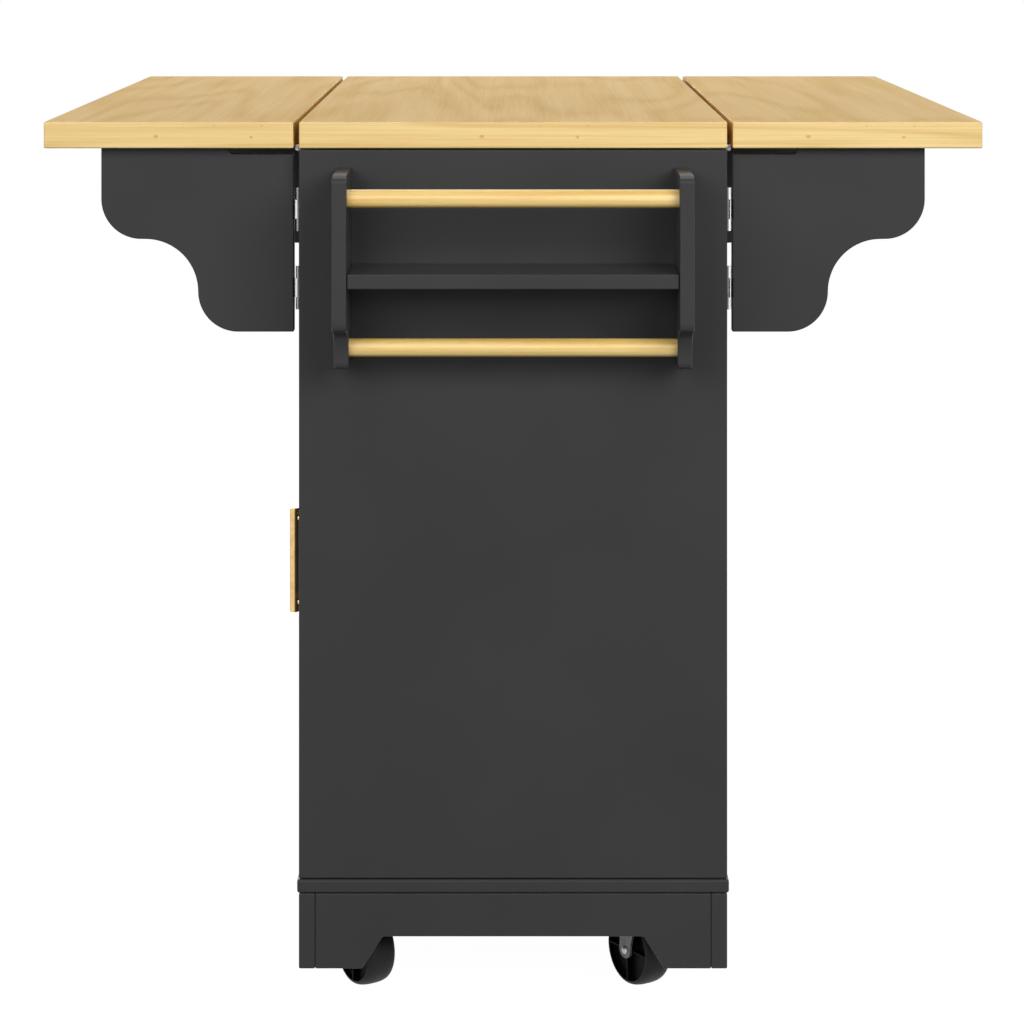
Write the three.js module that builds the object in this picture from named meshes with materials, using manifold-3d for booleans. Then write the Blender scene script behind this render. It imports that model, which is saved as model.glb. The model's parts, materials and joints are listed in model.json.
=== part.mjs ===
// Drop leaf kitchen island on casters. A black cabinet carries a wooden top with a leaf on each
// long side. Hinged brackets hold the leaves up, and a rack with two wooden rails hangs on one end.
// Millimetres. X runs across the island with the front at -X, Y along it with the rack end at -Y,
// and Z up from the floor. The origin is on the floor, in the middle of the whole outline.
import * as THREE from 'three';
import { mergeVertices } from 'three/addons/utils/BufferGeometryUtils.js';
import Module from 'manifold-3d';

const wasm = await Module();
wasm.setup();

// ------------------------------------------------------------------ sizes

const islandHeight = 937;
const cabinetLength = 950;
const cabinetWidth = 450;
const seat = 0.3; // between two pieces that are fixed to each other or rest on each other
const overcut = 1; // a cutting solid past the face that it opens
const overlap = 1; // one form into the next form of the same piece

// Top and leaves
const topThickness = 28;
const topEdgeRadius = 3;
const leafWidth = 262.4;
const leafGap = 5.6;

// Cabinet boards
const boardThickness = 15;
const boardEdgeRadius = 1.1;
const backThickness = 12;
const backRecess = 24;
const bottomBoardThickness = 14;
const bottomOverhang = 1.8;
const bottomEdgeRadius = 2.5;
const partitionInset = 318; // from the end face to the middle of the partition
const drawerZoneHeight = 207;
const closedShelfHeight = 262; // above the bottom board
const openShelfHeight = 276;
const closedShelfSetback = 22;
const openShelfSetback = 6;

// Front of the drawer zone, set back so that the folded brackets lie in front of it
const apronRecess = 30;
const apronRailHeight = 15;
const drawerWindowInset = 226; // from the end face to the drawer opening
const drawerReveal = 2;
const drawerBoxWallHeight = 130;
const drawerBackGap = 24; // drawer box to back panel
const drawerBoxSideGap = 8; // drawer opening to box side
const drawerWall = 12;
const drawerFloor = 8;

// Doors
const doorThickness = 16;
const doorReveal = 2;
const doorPinInset = 4; // from the door's face and from its hinge edge to the pin
const doorPinRadius = 2.5;
const doorPinLength = 6;
const pinClearance = 0.3;

// Bar handles
const handleLength = 116;
const handleRadius = 4.7;
const handlePostRadius = 3.6;
const handlePostSpacing = 96;
const handleEdgeRadius = 0.9;
const doorHandleProjection = 29.9;
const doorHandleFromEdge = 25.5;
const doorHandleAboveMiddle = 3.2;
const drawerHandleProjection = 24;

// Base
const floorClearance = 47.5;
const baseBoardHeight = 80;
const baseBoardThickness = 17;
const baseJointGap = 0.9; // end skirt to base board
const cutoutHeight = 33.7;
const cutoutTopWidth = 271;
const cutoutBottomWidth = 314;

// Casters
const casterHeight = 103;
const casterInsetX = 77; // from the cabinet side to the swivel axis
const casterInsetY = 80; // from the cabinet end to the swivel axis
const casterTrail = 21;
const casterHeading = THREE.MathUtils.degToRad(123.4);
const railWidth = 84;
const casterPlateSize = 62;
const casterPlateThickness = 2.5;
const raceRadius = 21;
const raceHeight = 3;
const swivelCupRadius = 19;
const swivelCupHeight = 9;
const forkThickness = 2.5;
const forkTopRadius = 22;
const forkTopLean = 4; // swivel axis to the middle of the leg's top
const forkLegTopWidth = 25;
const forkTipRadius = 11.5;
const wheelRadius = 38.5;
const wheelWidth = 31.6;
const wheelSideGap = 1;
const wheelShoulder = 5.1;
const wheelRimRadius = 32.8;
const wheelHubRadius = 9.5;
const wheelWebThickness = 20;
const wheelRibCount = 5; // on each face, the first straight down
const wheelRibThickness = 2;
const wheelRibSetback = 1;
const axleRadius = 4;
const axleClearance = 0.1;
const axleHeadRadius = 4.6;
const axleHeadHeight = 2.4;

// Hinges under the leaves
const leafHingeInset = 20; // from the cabinet end to the hinge
const leafHingeLength = 32;
const leafHingeBarrelRadius = 2.6;
const leafHingePlate = 1.5;
const leafHingeDrop = 1.5; // underside of the top to the hinge axis
const slabPlateWidth = 21; // from the cabinet side inwards
const leafFlapWidth = 57;

// Brackets and their hinges
const bracketThickness = 15;
const bracketLength = 203.6;
const bracketHeight = 194.7;
const bracketEdgeRadius = 1.4;
const ogeeRoundRadius = 42.4;
const ogeeHollowRadius = 55.5;
const bracketFootLength = 58.9;
const bracketNotchWidth = 68.3;
const bracketNotchDepth = 6.9;
const bracketNotchRadius = 4;
const bracketPivotOut = 2.8; // from the cabinet side to the pivot
const bracketPivotDepth = 1; // from the end panel's inner face back to the pivot
const bracketEdgeOffset = 3.5; // pivot to the bracket's inner edge
const bracketFaceOffset = 3.5; // pivot to the bracket's outer face
const bracketHingeHeight = 45.6;
const bracketHingeWidth = 24;
const bracketHingePlate = 1.2;
const bracketHingeGap = 0.3; // between the two plates when the bracket is folded
const bracketBarrelRadius = 2.2;
const bracketUpperHingeDrop = 64.8; // bracket top to the middle of its upper hinge
const bracketLowerHingeRise = 47.2; // bracket bottom to the middle of its lower hinge

// Hinge pins and knuckles
const hingePinRadius = 1.2;
const hingePinClearance = 0.15;
const knuckleGap = 0.3;
const knuckleShare = 0.44; // the middle knuckle's share of the barrel

// Rack on the near end
const rackInset = 40.6; // from the cabinet side to the rack's side board
const rackDrop = 223; // underside of the top to the rack's bottom
const rackHeight = 203;
const rackDepth = 108;
const rackFootDepth = 66.5;
const rackStepHeight = 43.1; // rack bottom to the underside of its nose
const rackTopRadius = 9;
const rackNoseRadius = 9.5;
const rackHollowRadius = 32;
const rackFootRadius = 8;
const rackBoardThickness = 15;
const rackShelfDepth = 104;
const rackShelfThickness = 14;
const rackShelfHeight = 87.4; // rack bottom to the shelf's underside
const dowelRadius = 9;
const dowelSocketDepth = 8;
const dowelClearance = 0.3;
const upperDowelDepth = 87;
const upperDowelHeight = 178;
const lowerDowelDepth = 49;
const lowerDowelHeight = 20.6;

// ------------------------------------------------------------------ levels and places

const slabBottom = islandHeight - topThickness;
const bottomBoardBottom = floorClearance + baseBoardHeight;
const bottomBoardTop = bottomBoardBottom + bottomBoardThickness;
const deckTop = slabBottom - drawerZoneHeight;
const deckBottom = deckTop - boardThickness;
const halfWidth = cabinetWidth / 2;
const halfLength = cabinetLength / 2;
const backFace = halfWidth - backRecess - backThickness;
const outlineShift = (rackDepth - bottomOverhang) / 2;
const rackBottom = slabBottom - rackDrop;

const FRONT = -1;
const REAR = 1;
const NEAR = -1;
const FAR = 1;
const sideName = { [FRONT]: 'front', [REAR]: 'rear' };
const endName = { [NEAR]: 'near', [FAR]: 'far' };
const sides = [FRONT, REAR];
const ends = [NEAR, FAR];

// A distance inwards from a side face or from an end face
const fromSide = (side, inset) => side * (halfWidth - inset);
const fromEnd = (end, inset) => end * (halfLength - inset);

// Flat faces on a full circle, and segments on each arc of an outline
const wheelFaces = 24;
const roundFaces = 18;
const smallRoundFaces = 14;
const barrelFaces = 10;
const pinFaces = 8;
const arcSegments = 8;
const smallArcSegments = 4;

// ------------------------------------------------------------------ materials

const finish = (color, roughness, metalness = 0) =>
  new THREE.MeshStandardMaterial({ color, roughness, metalness });

const topWood = finish(0xd8b98a, 0.5);
const railWood = finish(0xdcb176, 0.5);
const blackPaint = finish(0x2b2b2c, 0.45);
const brass = finish(0xc9a050, 0.25, 1);
const hingeSteel = finish(0xc8c9cc, 0.3, 1);
const forkSteel = finish(0x8a8c90, 0.4, 1);
const wheelRubber = finish(0x1c1c1d, 0.7);

// ------------------------------------------------------------------ solids

function toSolid(geometry) {
  const bare = geometry.clone();
  bare.deleteAttribute('normal');
  bare.deleteAttribute('uv');
  const closed = mergeVertices(bare, 1e-4);
  return new wasm.Manifold(
    new wasm.Mesh({
      numProp: 3,
      vertProperties: Float32Array.from(closed.attributes.position.array),
      triVerts: Uint32Array.from(closed.index.array),
    }),
  );
}

function toGeometry(solid) {
  const mesh = solid.getMesh();
  const geometry = new THREE.BufferGeometry();
  geometry.setAttribute('position', new THREE.BufferAttribute(mesh.vertProperties, 3));
  geometry.setIndex(new THREE.BufferAttribute(mesh.triVerts, 1));
  geometry.computeVertexNormals();
  return geometry;
}

const join = (...geometries) => toGeometry(wasm.Manifold.union(geometries.map(toSolid)));
const cut = (geometry, ...tools) =>
  toGeometry(toSolid(geometry).subtract(wasm.Manifold.union(tools.map(toSolid))));

const middle = ([a, b]) => (a + b) / 2;
const extent = ([a, b]) => Math.abs(b - a);

// A plain box between two limits on each axis
function block(x, y, z) {
  return new THREE.BoxGeometry(extent(x), extent(y), extent(z)).translate(
    middle(x),
    middle(y),
    middle(z),
  );
}

// A board with rounded edges between two limits on each axis
function board(x, y, z, radius = boardEdgeRadius) {
  const halfX = extent(x) / 2 - radius;
  const halfY = extent(y) / 2 - radius;
  const outline = new THREE.Shape([
    new THREE.Vector2(-halfX, -halfY),
    new THREE.Vector2(halfX, -halfY),
    new THREE.Vector2(halfX, halfY),
    new THREE.Vector2(-halfX, halfY),
  ]);
  return roundedPlate(outline, extent(z), radius).translate(middle(x), middle(y), middle(z));
}

// A plate of a given outline, centred on the outline's plane. The outline is drawn inside the
// finished edge by the radius.
function roundedPlate(outline, thickness, radius, segments = arcSegments) {
  return new THREE.ExtrudeGeometry(outline, {
    depth: thickness - 2 * radius,
    bevelThickness: radius,
    bevelSize: radius,
    bevelSegments: 2,
    curveSegments: segments / 2,
  }).translate(0, 0, radius - thickness / 2);
}

// Cylinders along each axis, between two limits on that axis
function postX(radius, x, y, z, faces = roundFaces) {
  return new THREE.CylinderGeometry(radius, radius, extent(x), faces)
    .rotateZ(Math.PI / 2)
    .translate(middle(x), y, z);
}

function postY(radius, x, y, z, faces = roundFaces) {
  return new THREE.CylinderGeometry(radius, radius, extent(y), faces).translate(x, middle(y), z);
}

function postZ(radius, x, y, z, faces = roundFaces) {
  return new THREE.CylinderGeometry(radius, radius, extent(z), faces)
    .rotateX(Math.PI / 2)
    .translate(x, y, middle(z));
}

function piece(name, geometry, material) {
  const mesh = new THREE.Mesh(geometry, material);
  mesh.name = name;
  return mesh;
}

// A group that turns about a point, holding pieces drawn in the cabinet's own coordinates
function pivoted(x, y, z, ...pieces) {
  const group = new THREE.Group();
  group.position.set(x, y, z);
  for (const mesh of pieces) {
    mesh.position.set(-x, -y, -z);
    group.add(mesh);
  }
  return group;
}

// ------------------------------------------------------------------ cabinet

function cabinetBoards() {
  const innerY = [fromEnd(NEAR, boardThickness + seat), fromEnd(FAR, boardThickness + seat)];
  const wallZ = [bottomBoardTop + seat, slabBottom - seat];
  const bayZ = [bottomBoardTop + seat, deckBottom - seat];
  const shelfBack = backFace - seat;
  const pieces = [];

  for (const end of ends) {
    const wallY = [fromEnd(end, 0), fromEnd(end, boardThickness)];
    pieces.push(
      piece(`end_panel_${endName[end]}`, board([-halfWidth, halfWidth], wallY, wallZ), blackPaint),
    );

    const partitionY = [
      fromEnd(end, partitionInset - boardThickness / 2),
      fromEnd(end, partitionInset + boardThickness / 2),
    ];
    pieces.push(
      piece(
        `partition_${endName[end]}`,
        board([-halfWidth, shelfBack], partitionY, bayZ),
        blackPaint,
      ),
    );

    const shelfZ = [
      bottomBoardTop + closedShelfHeight,
      bottomBoardTop + closedShelfHeight + boardThickness,
    ];
    const bayY = [
      fromEnd(end, boardThickness + seat),
      fromEnd(end, partitionInset - boardThickness / 2 - seat),
    ];
    pieces.push(
      piece(
        `shelf_${endName[end]}`,
        board([-halfWidth + closedShelfSetback, shelfBack], bayY, shelfZ),
        blackPaint,
      ),
    );
  }

  const openBay = partitionInset + boardThickness / 2 + seat;
  const openShelfZ = [
    bottomBoardTop + openShelfHeight,
    bottomBoardTop + openShelfHeight + boardThickness,
  ];
  pieces.push(
    piece(
      'shelf_centre',
      board(
        [-halfWidth + openShelfSetback, shelfBack],
        [fromEnd(NEAR, openBay), fromEnd(FAR, openBay)],
        openShelfZ,
      ),
      blackPaint,
    ),
    piece(
      'back_panel',
      board([backFace, backFace + backThickness], innerY, wallZ),
      blackPaint,
    ),
    piece('bottom_board', bottomBoard(), blackPaint),
    piece('drawer_deck', drawerDeck([-halfWidth, shelfBack], innerY), blackPaint),
    piece('apron_front', apron(innerY), blackPaint),
  );
  return pieces;
}

const doorPinX = -halfWidth + doorPinInset;
const doorPinY = (end) => fromEnd(end, boardThickness + doorReveal + doorPinInset);
const doorSocket = (end, z) =>
  postZ(doorPinRadius + pinClearance, doorPinX, doorPinY(end), z, smallRoundFaces);

function bottomBoard() {
  const socketZ = [bottomBoardTop - doorPinLength - pinClearance, bottomBoardTop + overcut];
  return cut(
    board(
      [-halfWidth - bottomOverhang, halfWidth + bottomOverhang],
      [-halfLength - bottomOverhang, halfLength + bottomOverhang],
      [bottomBoardBottom, bottomBoardTop],
      bottomEdgeRadius,
    ),
    ...ends.map((end) => doorSocket(end, socketZ)),
  );
}

function drawerDeck(x, y) {
  const socketZ = [deckBottom - overcut, deckBottom + doorPinLength + pinClearance];
  return cut(board(x, y, [deckBottom, deckTop]), ...ends.map((end) => doorSocket(end, socketZ)));
}

const apronFace = -halfWidth + apronRecess;

// Two side boards and a rail over the drawer opening, in one piece
function apron(innerY) {
  const window = block(
    [apronFace - overcut, apronFace + boardThickness + overcut],
    [fromEnd(NEAR, drawerWindowInset), fromEnd(FAR, drawerWindowInset)],
    [deckTop - overcut, slabBottom - apronRailHeight],
  );
  return cut(
    board([apronFace, apronFace + boardThickness], innerY, [deckTop + seat, slabBottom - seat]),
    window,
  );
}

// ------------------------------------------------------------------ drawer and doors

// A bar on two posts, along Z, its posts reaching +X to the face that it is screwed to
function barHandle(projection) {
  const reach = projection - handleRadius;
  const half = handleLength / 2;
  const round = handleEdgeRadius;
  const bar = new THREE.LatheGeometry(
    [
      new THREE.Vector2(0, -half),
      new THREE.Vector2(handleRadius - round, -half),
      new THREE.Vector2(handleRadius, -half + round),
      new THREE.Vector2(handleRadius, half - round),
      new THREE.Vector2(handleRadius - round, half),
      new THREE.Vector2(0, half),
    ],
    smallRoundFaces,
  ).rotateX(Math.PI / 2);
  const posts = [-1, 1].map((way) =>
    postX(
      handlePostRadius,
      [0, reach - seat],
      0,
      (way * handlePostSpacing) / 2,
      smallRoundFaces,
    ),
  );
  return join(bar, ...posts).translate(-reach, 0, 0);
}

function drawer() {
  const windowY = [fromEnd(NEAR, drawerWindowInset), fromEnd(FAR, drawerWindowInset)];
  const frontY = [windowY[0] + drawerReveal, windowY[1] - drawerReveal];
  const frontZ = [deckTop + drawerReveal, slabBottom - apronRailHeight - drawerReveal];
  const front = piece(
    'drawer_front',
    board([apronFace, apronFace + boardThickness], frontY, frontZ),
    blackPaint,
  );

  const boxX = [apronFace + boardThickness + seat, backFace - drawerBackGap];
  const boxY = [windowY[0] + drawerBoxSideGap, windowY[1] - drawerBoxSideGap];
  const boxZ = [deckTop + seat, deckTop + seat + drawerBoxWallHeight];
  const hollow = block(
    [boxX[0] + drawerWall, boxX[1] - drawerWall],
    [boxY[0] + drawerWall, boxY[1] - drawerWall],
    [boxZ[0] + drawerFloor, boxZ[1] + overcut],
  );
  const box = piece('drawer_box', cut(board(boxX, boxY, boxZ), hollow), topWood);

  const handle = piece(
    'drawer_handle',
    barHandle(drawerHandleProjection)
      .rotateX(Math.PI / 2)
      .translate(apronFace, 0, middle(frontZ)),
    brass,
  );
  const group = new THREE.Group();
  group.add(front, box, handle);
  return group;
}

function door(end) {
  const hingeEdge = boardThickness + doorReveal;
  const freeEdge = partitionInset - boardThickness / 2 - doorReveal;
  const z = [bottomBoardTop + doorReveal, deckBottom - doorReveal];
  const reach = doorReveal + doorPinLength;
  const pins = [
    [z[0] - reach, z[0] + doorPinLength],
    [z[1] - doorPinLength, z[1] + reach],
  ].map((pinZ) => postZ(doorPinRadius, doorPinX, doorPinY(end), pinZ, smallRoundFaces));
  const panel = board(
    [-halfWidth, -halfWidth + doorThickness],
    [fromEnd(end, hingeEdge), fromEnd(end, freeEdge)],
    z,
  );
  const handle = barHandle(doorHandleProjection).translate(
    -halfWidth,
    fromEnd(end, freeEdge - doorHandleFromEdge),
    middle(z) + doorHandleAboveMiddle,
  );
  return pivoted(
    doorPinX,
    doorPinY(end),
    0,
    piece(`door_${endName[end]}`, join(panel, ...pins), blackPaint),
    piece(`door_handle_${endName[end]}`, handle, brass),
  );
}

// ------------------------------------------------------------------ base and casters

const railTop = bottomBoardBottom - seat;
const baseInnerX = halfWidth - baseBoardThickness - seat;

function baseBoard(side) {
  return piece(
    `base_board_${sideName[side]}`,
    board(
      [fromSide(side, 0), fromSide(side, baseBoardThickness)],
      [-halfLength, halfLength],
      [floorClearance, railTop],
    ),
    blackPaint,
  );
}

// The end board of the base, with a cut-out that narrows upwards
function endSkirt(end) {
  const inset = boardEdgeRadius;
  const reach = halfWidth - baseBoardThickness - baseJointGap - inset;
  const foot = floorClearance + inset;
  const crown = floorClearance + cutoutHeight + inset;
  const outline = new THREE.Shape([
    new THREE.Vector2(-reach, foot),
    new THREE.Vector2(-cutoutBottomWidth / 2 - inset, foot),
    new THREE.Vector2(-cutoutTopWidth / 2 - inset, crown),
    new THREE.Vector2(cutoutTopWidth / 2 + inset, crown),
    new THREE.Vector2(cutoutBottomWidth / 2 + inset, foot),
    new THREE.Vector2(reach, foot),
    new THREE.Vector2(reach, railTop - inset),
    new THREE.Vector2(-reach, railTop - inset),
  ]);
  return piece(
    `end_skirt_${endName[end]}`,
    roundedPlate(outline, boardThickness, inset)
      .rotateX(Math.PI / 2)
      .translate(0, fromEnd(end, boardThickness / 2), 0),
    blackPaint,
  );
}

// A batten between the base boards, with the fixed plates and races of its two casters
function casterRail(end) {
  const y = fromEnd(end, casterInsetY);
  const half = casterPlateSize / 2;
  const plates = sides.flatMap((side) => {
    const x = fromSide(side, casterInsetX);
    return [
      block(
        [x - half, x + half],
        [y - half, y + half],
        [casterHeight - casterPlateThickness, casterHeight + overlap],
      ),
      postZ(raceRadius, x, y, [casterHeight - casterPlateThickness - raceHeight, casterHeight]),
    ];
  });
  const batten = board(
    [-baseInnerX, baseInnerX],
    [y - railWidth / 2, y + railWidth / 2],
    [casterHeight, railTop],
  );
  return piece(`caster_rail_${endName[end]}`, join(batten, ...plates), blackPaint);
}

// The swivelling fork with its axle, drawn about the swivel axis with the wheel trailing to +X
function casterFork() {
  const cupTop = casterHeight - casterPlateThickness - raceHeight - seat;
  const yokeTop = cupTop - swivelCupHeight;
  const legInside = wheelWidth / 2 + wheelSideGap;
  const legOutside = legInside + forkThickness;
  const top = new THREE.Vector2(forkTopLean, yokeTop);
  const axle = new THREE.Vector2(casterTrail, wheelRadius);
  const across = Math.PI - Math.atan2(top.x - axle.x, top.y - axle.y);
  const tipStart = new THREE.Vector2(forkTipRadius, 0).rotateAround(new THREE.Vector2(), across);

  // Two straight sides that run into the round tip below the axle
  const profile = new THREE.Shape();
  profile.moveTo(top.x - forkLegTopWidth / 2, top.y);
  profile.lineTo(axle.x + tipStart.x, axle.y + tipStart.y);
  profile.absarc(axle.x, axle.y, forkTipRadius, across, across + Math.PI, false);
  profile.lineTo(top.x + forkLegTopWidth / 2, top.y);
  profile.closePath();
  const legs = [-legOutside, legInside].map((y) =>
    new THREE.ExtrudeGeometry(profile, {
      depth: forkThickness,
      bevelEnabled: false,
      curveSegments: arcSegments / 2,
    })
      .rotateX(Math.PI / 2)
      .translate(0, y + forkThickness, 0),
  );

  const yokeBottom = yokeTop - forkThickness;
  const bridge = block(
    [top.x - forkLegTopWidth / 2, top.x + forkLegTopWidth / 2],
    [-legOutside, legOutside],
    [yokeBottom, yokeTop],
  );
  const crown = postZ(forkTopRadius, 0, 0, [yokeBottom, yokeTop]);
  const cup = new THREE.LatheGeometry(
    [
      new THREE.Vector2(0, yokeBottom),
      new THREE.Vector2(swivelCupRadius - swivelCupHeight / 3, yokeBottom),
      new THREE.Vector2(swivelCupRadius - swivelCupHeight / 3, yokeTop),
      new THREE.Vector2(swivelCupRadius, yokeTop + swivelCupHeight / 3),
      new THREE.Vector2(swivelCupRadius, cupTop),
      new THREE.Vector2(0, cupTop),
    ],
    roundFaces,
  ).rotateX(Math.PI / 2);
  const axleEnd = legOutside + axleHeadHeight;
  const bolt = postY(axleRadius, axle.x, [-axleEnd, axleEnd], axle.y, barrelFaces);
  const heads = [-1, 1].map((way) =>
    postY(
      axleHeadRadius,
      axle.x,
      [way * (legOutside - overlap), way * axleEnd],
      axle.y,
      barrelFaces,
    ),
  );
  return join(...legs, bridge, crown, cup, bolt, ...heads);
}

// A solid wheel about Y: rounded tread, recessed web with ribs on both faces, and a hub
function casterWheel() {
  const half = wheelWidth / 2;
  const web = wheelWebThickness / 2;
  const bore = axleRadius + axleClearance;
  const shoulder = (start, sign) =>
    [0, 1, 2].map((step) => {
      const angle = start + (step * Math.PI) / 4;
      return new THREE.Vector2(
        wheelRadius - wheelShoulder + wheelShoulder * Math.cos(angle),
        sign * (half - wheelShoulder) + wheelShoulder * Math.sin(angle),
      );
    });
  const profile = [
    new THREE.Vector2(bore, -half),
    new THREE.Vector2(wheelHubRadius, -half),
    new THREE.Vector2(wheelHubRadius, -web),
    new THREE.Vector2(wheelRimRadius, -web),
    new THREE.Vector2(wheelRimRadius, -half),
    ...shoulder(-Math.PI / 2, -1),
    ...shoulder(0, 1),
    new THREE.Vector2(wheelRimRadius, half),
    new THREE.Vector2(wheelRimRadius, web),
    new THREE.Vector2(wheelHubRadius, web),
    new THREE.Vector2(wheelHubRadius, half),
    new THREE.Vector2(bore, half),
    new THREE.Vector2(bore, -half),
  ];
  const body = new THREE.LatheGeometry(profile, wheelFaces);
  const ribs = Array.from({ length: wheelRibCount }, (_, index) =>
    block(
      [wheelHubRadius - overlap, wheelRimRadius + overlap],
      [-half + wheelRibSetback, half - wheelRibSetback],
      [-wheelRibThickness / 2, wheelRibThickness / 2],
    ).rotateY(Math.PI / 2 + (index * 2 * Math.PI) / wheelRibCount),
  );
  return join(body, ...ribs);
}

function caster(side, end) {
  const place = `${sideName[side]}_${endName[end]}`;
  const swivel = new THREE.Group();
  swivel.position.set(fromSide(side, casterInsetX), fromEnd(end, casterInsetY), 0);
  swivel.rotation.z = casterHeading;
  const wheel = piece(`caster_wheel_${place}`, casterWheel(), wheelRubber);
  wheel.position.set(casterTrail, 0, wheelRadius);
  swivel.add(piece(`caster_fork_${place}`, casterFork(), forkSteel), wheel);
  return swivel;
}

// ------------------------------------------------------------------ leaves

const leafAxisX = (side) => side * (halfWidth + leafGap / 2);
const leafAxisZ = slabBottom - leafHingeDrop;

// Limits along a barrel of the middle knuckle and of the two end knuckles
function knuckles([start, stop]) {
  const span = stop - start;
  const half = (span * knuckleShare) / 2;
  const centre = (start + stop) / 2;
  return {
    middle: [centre - half, centre + half],
    outer: [
      [start, centre - half - Math.sign(span) * knuckleGap],
      [centre + half + Math.sign(span) * knuckleGap, stop],
    ],
  };
}

const leafHingeY = (end) =>
  [leafHingeInset, leafHingeInset + leafHingeLength]
    .map((inset) => fromEnd(end, inset))
    .sort((a, b) => a - b);
const leafPlateZ = [slabBottom - seat - leafHingePlate, slabBottom - seat];

// The half of a leaf hinge that is screwed under the slab: plate, end knuckles and pin
function slabHinge(side, end) {
  const x = leafAxisX(side);
  const y = leafHingeY(end);
  const parts = knuckles(y);
  const relief = leafHingeBarrelRadius + knuckleGap;
  const plate = cut(
    block([x, x - side * (slabPlateWidth + leafGap / 2)], y, leafPlateZ),
    block(
      [x + side * overcut, x - side * relief],
      [parts.middle[0] - knuckleGap, parts.middle[1] + knuckleGap],
      [leafPlateZ[0] - overcut, leafPlateZ[1] + overcut],
    ),
  );
  const barrels = parts.outer.map((part) =>
    postY(leafHingeBarrelRadius, x, part, leafAxisZ, barrelFaces),
  );
  const pin = postY(hingePinRadius, x, y, leafAxisZ, pinFaces);
  return piece(
    `slab_hinge_${sideName[side]}_${endName[end]}`,
    join(plate, ...barrels, pin),
    hingeSteel,
  );
}

// The half that is screwed under the leaf: a long flap and the middle knuckle
function leafFlap(side, end) {
  const x = leafAxisX(side);
  const y = leafHingeY(end);
  const parts = knuckles(y);
  const relief = leafHingeBarrelRadius + knuckleGap;
  const flap = cut(
    block([x, x + side * leafFlapWidth], y, leafPlateZ),
    ...parts.outer.map((part) =>
      block(
        [x - side * overcut, x + side * relief],
        [part[0] - knuckleGap, part[1] + knuckleGap],
        [leafPlateZ[0] - overcut, leafPlateZ[1] + overcut],
      ),
    ),
  );
  const barrel = postY(leafHingeBarrelRadius, x, parts.middle, leafAxisZ, barrelFaces);
  const bore = postY(
    hingePinRadius + hingePinClearance,
    x,
    [parts.middle[0] - overcut, parts.middle[1] + overcut],
    leafAxisZ,
    pinFaces,
  );
  return piece(
    `leaf_flap_${sideName[side]}_${endName[end]}`,
    cut(join(flap, barrel), bore),
    hingeSteel,
  );
}

function leaf(side) {
  const inner = side * (halfWidth + leafGap);
  const top = piece(
    `leaf_${sideName[side]}`,
    board(
      [inner, inner + side * leafWidth],
      [-halfLength, halfLength],
      [slabBottom, islandHeight],
      topEdgeRadius,
    ),
    topWood,
  );
  return pivoted(leafAxisX(side), 0, leafAxisZ, top, ...ends.map((end) => leafFlap(side, end)));
}

// ------------------------------------------------------------------ brackets

const bracketPivotX = (side) => side * (halfWidth + bracketPivotOut);
const bracketPivotY = (end) => fromEnd(end, boardThickness - bracketPivotDepth);
const bracketTop = slabBottom - seat;
const bracketBottom = bracketTop - bracketHeight;

const bracketHingeLevels = {
  upper: bracketTop - bracketUpperHingeDrop,
  lower: bracketBottom + bracketLowerHingeRise,
};
const hingeSpan = (level) => [level - bracketHingeHeight / 2, level + bracketHingeHeight / 2];

// The half of a bracket hinge on the end panel's inner face: plate, end knuckles and pin
function panelHinge(side, end, levelName) {
  const x = bracketPivotX(side);
  const y = bracketPivotY(end);
  const z = hingeSpan(bracketHingeLevels[levelName]);
  const parts = knuckles(z);
  const plateY = [
    fromEnd(end, boardThickness + seat),
    fromEnd(end, boardThickness + seat + bracketHingePlate),
  ];
  const relief = bracketBarrelRadius + bracketPivotOut;
  const plate = cut(
    block([x, x - side * bracketHingeWidth], plateY, z),
    block(
      [x + side * overcut, x - side * relief],
      [y - bracketEdgeOffset, y + bracketEdgeOffset],
      [parts.middle[0] - knuckleGap, parts.middle[1] + knuckleGap],
    ),
  );
  const barrels = parts.outer.map((part) =>
    postZ(bracketBarrelRadius, x, y, part, barrelFaces),
  );
  const pin = postZ(hingePinRadius, x, y, z, pinFaces);
  return piece(
    `bracket_hinge_${sideName[side]}_${endName[end]}_${levelName}`,
    join(plate, ...barrels, pin),
    hingeSteel,
  );
}

// The bracket board's outline from its pivot edge outwards, drawn inside its edge by its radius
function bracketOutline() {
  const inset = bracketEdgeRadius;
  const inner = bracketEdgeOffset + inset;
  const tip = bracketEdgeOffset + bracketLength - inset;
  const top = bracketTop - inset;
  const bottom = bracketBottom + inset;
  const round = ogeeRoundRadius - inset;
  const hollow = ogeeHollowRadius + inset;
  const footEnd = bracketEdgeOffset + bracketFootLength;
  const waist = bottom + round;
  const notchEdge = bracketEdgeOffset + bracketNotchWidth + inset;
  const notchFloor = top - bracketNotchDepth;
  const outline = new THREE.Shape();
  outline.moveTo(inner, bottom);
  outline.lineTo(footEnd, bottom);
  outline.absarc(footEnd, waist, round, -Math.PI / 2, 0, false);
  outline.absarc(footEnd + round + hollow, waist, hollow, Math.PI, Math.PI / 2, true);
  outline.absarc(tip - round, waist + hollow + round, round, -Math.PI / 2, 0, false);
  outline.lineTo(tip, top);
  outline.lineTo(notchEdge, top);
  outline.absarc(
    notchEdge - bracketNotchRadius,
    notchFloor + bracketNotchRadius,
    bracketNotchRadius,
    0,
    -Math.PI / 2,
    true,
  );
  outline.lineTo(inner, notchFloor);
  outline.closePath();
  return outline;
}

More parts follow.
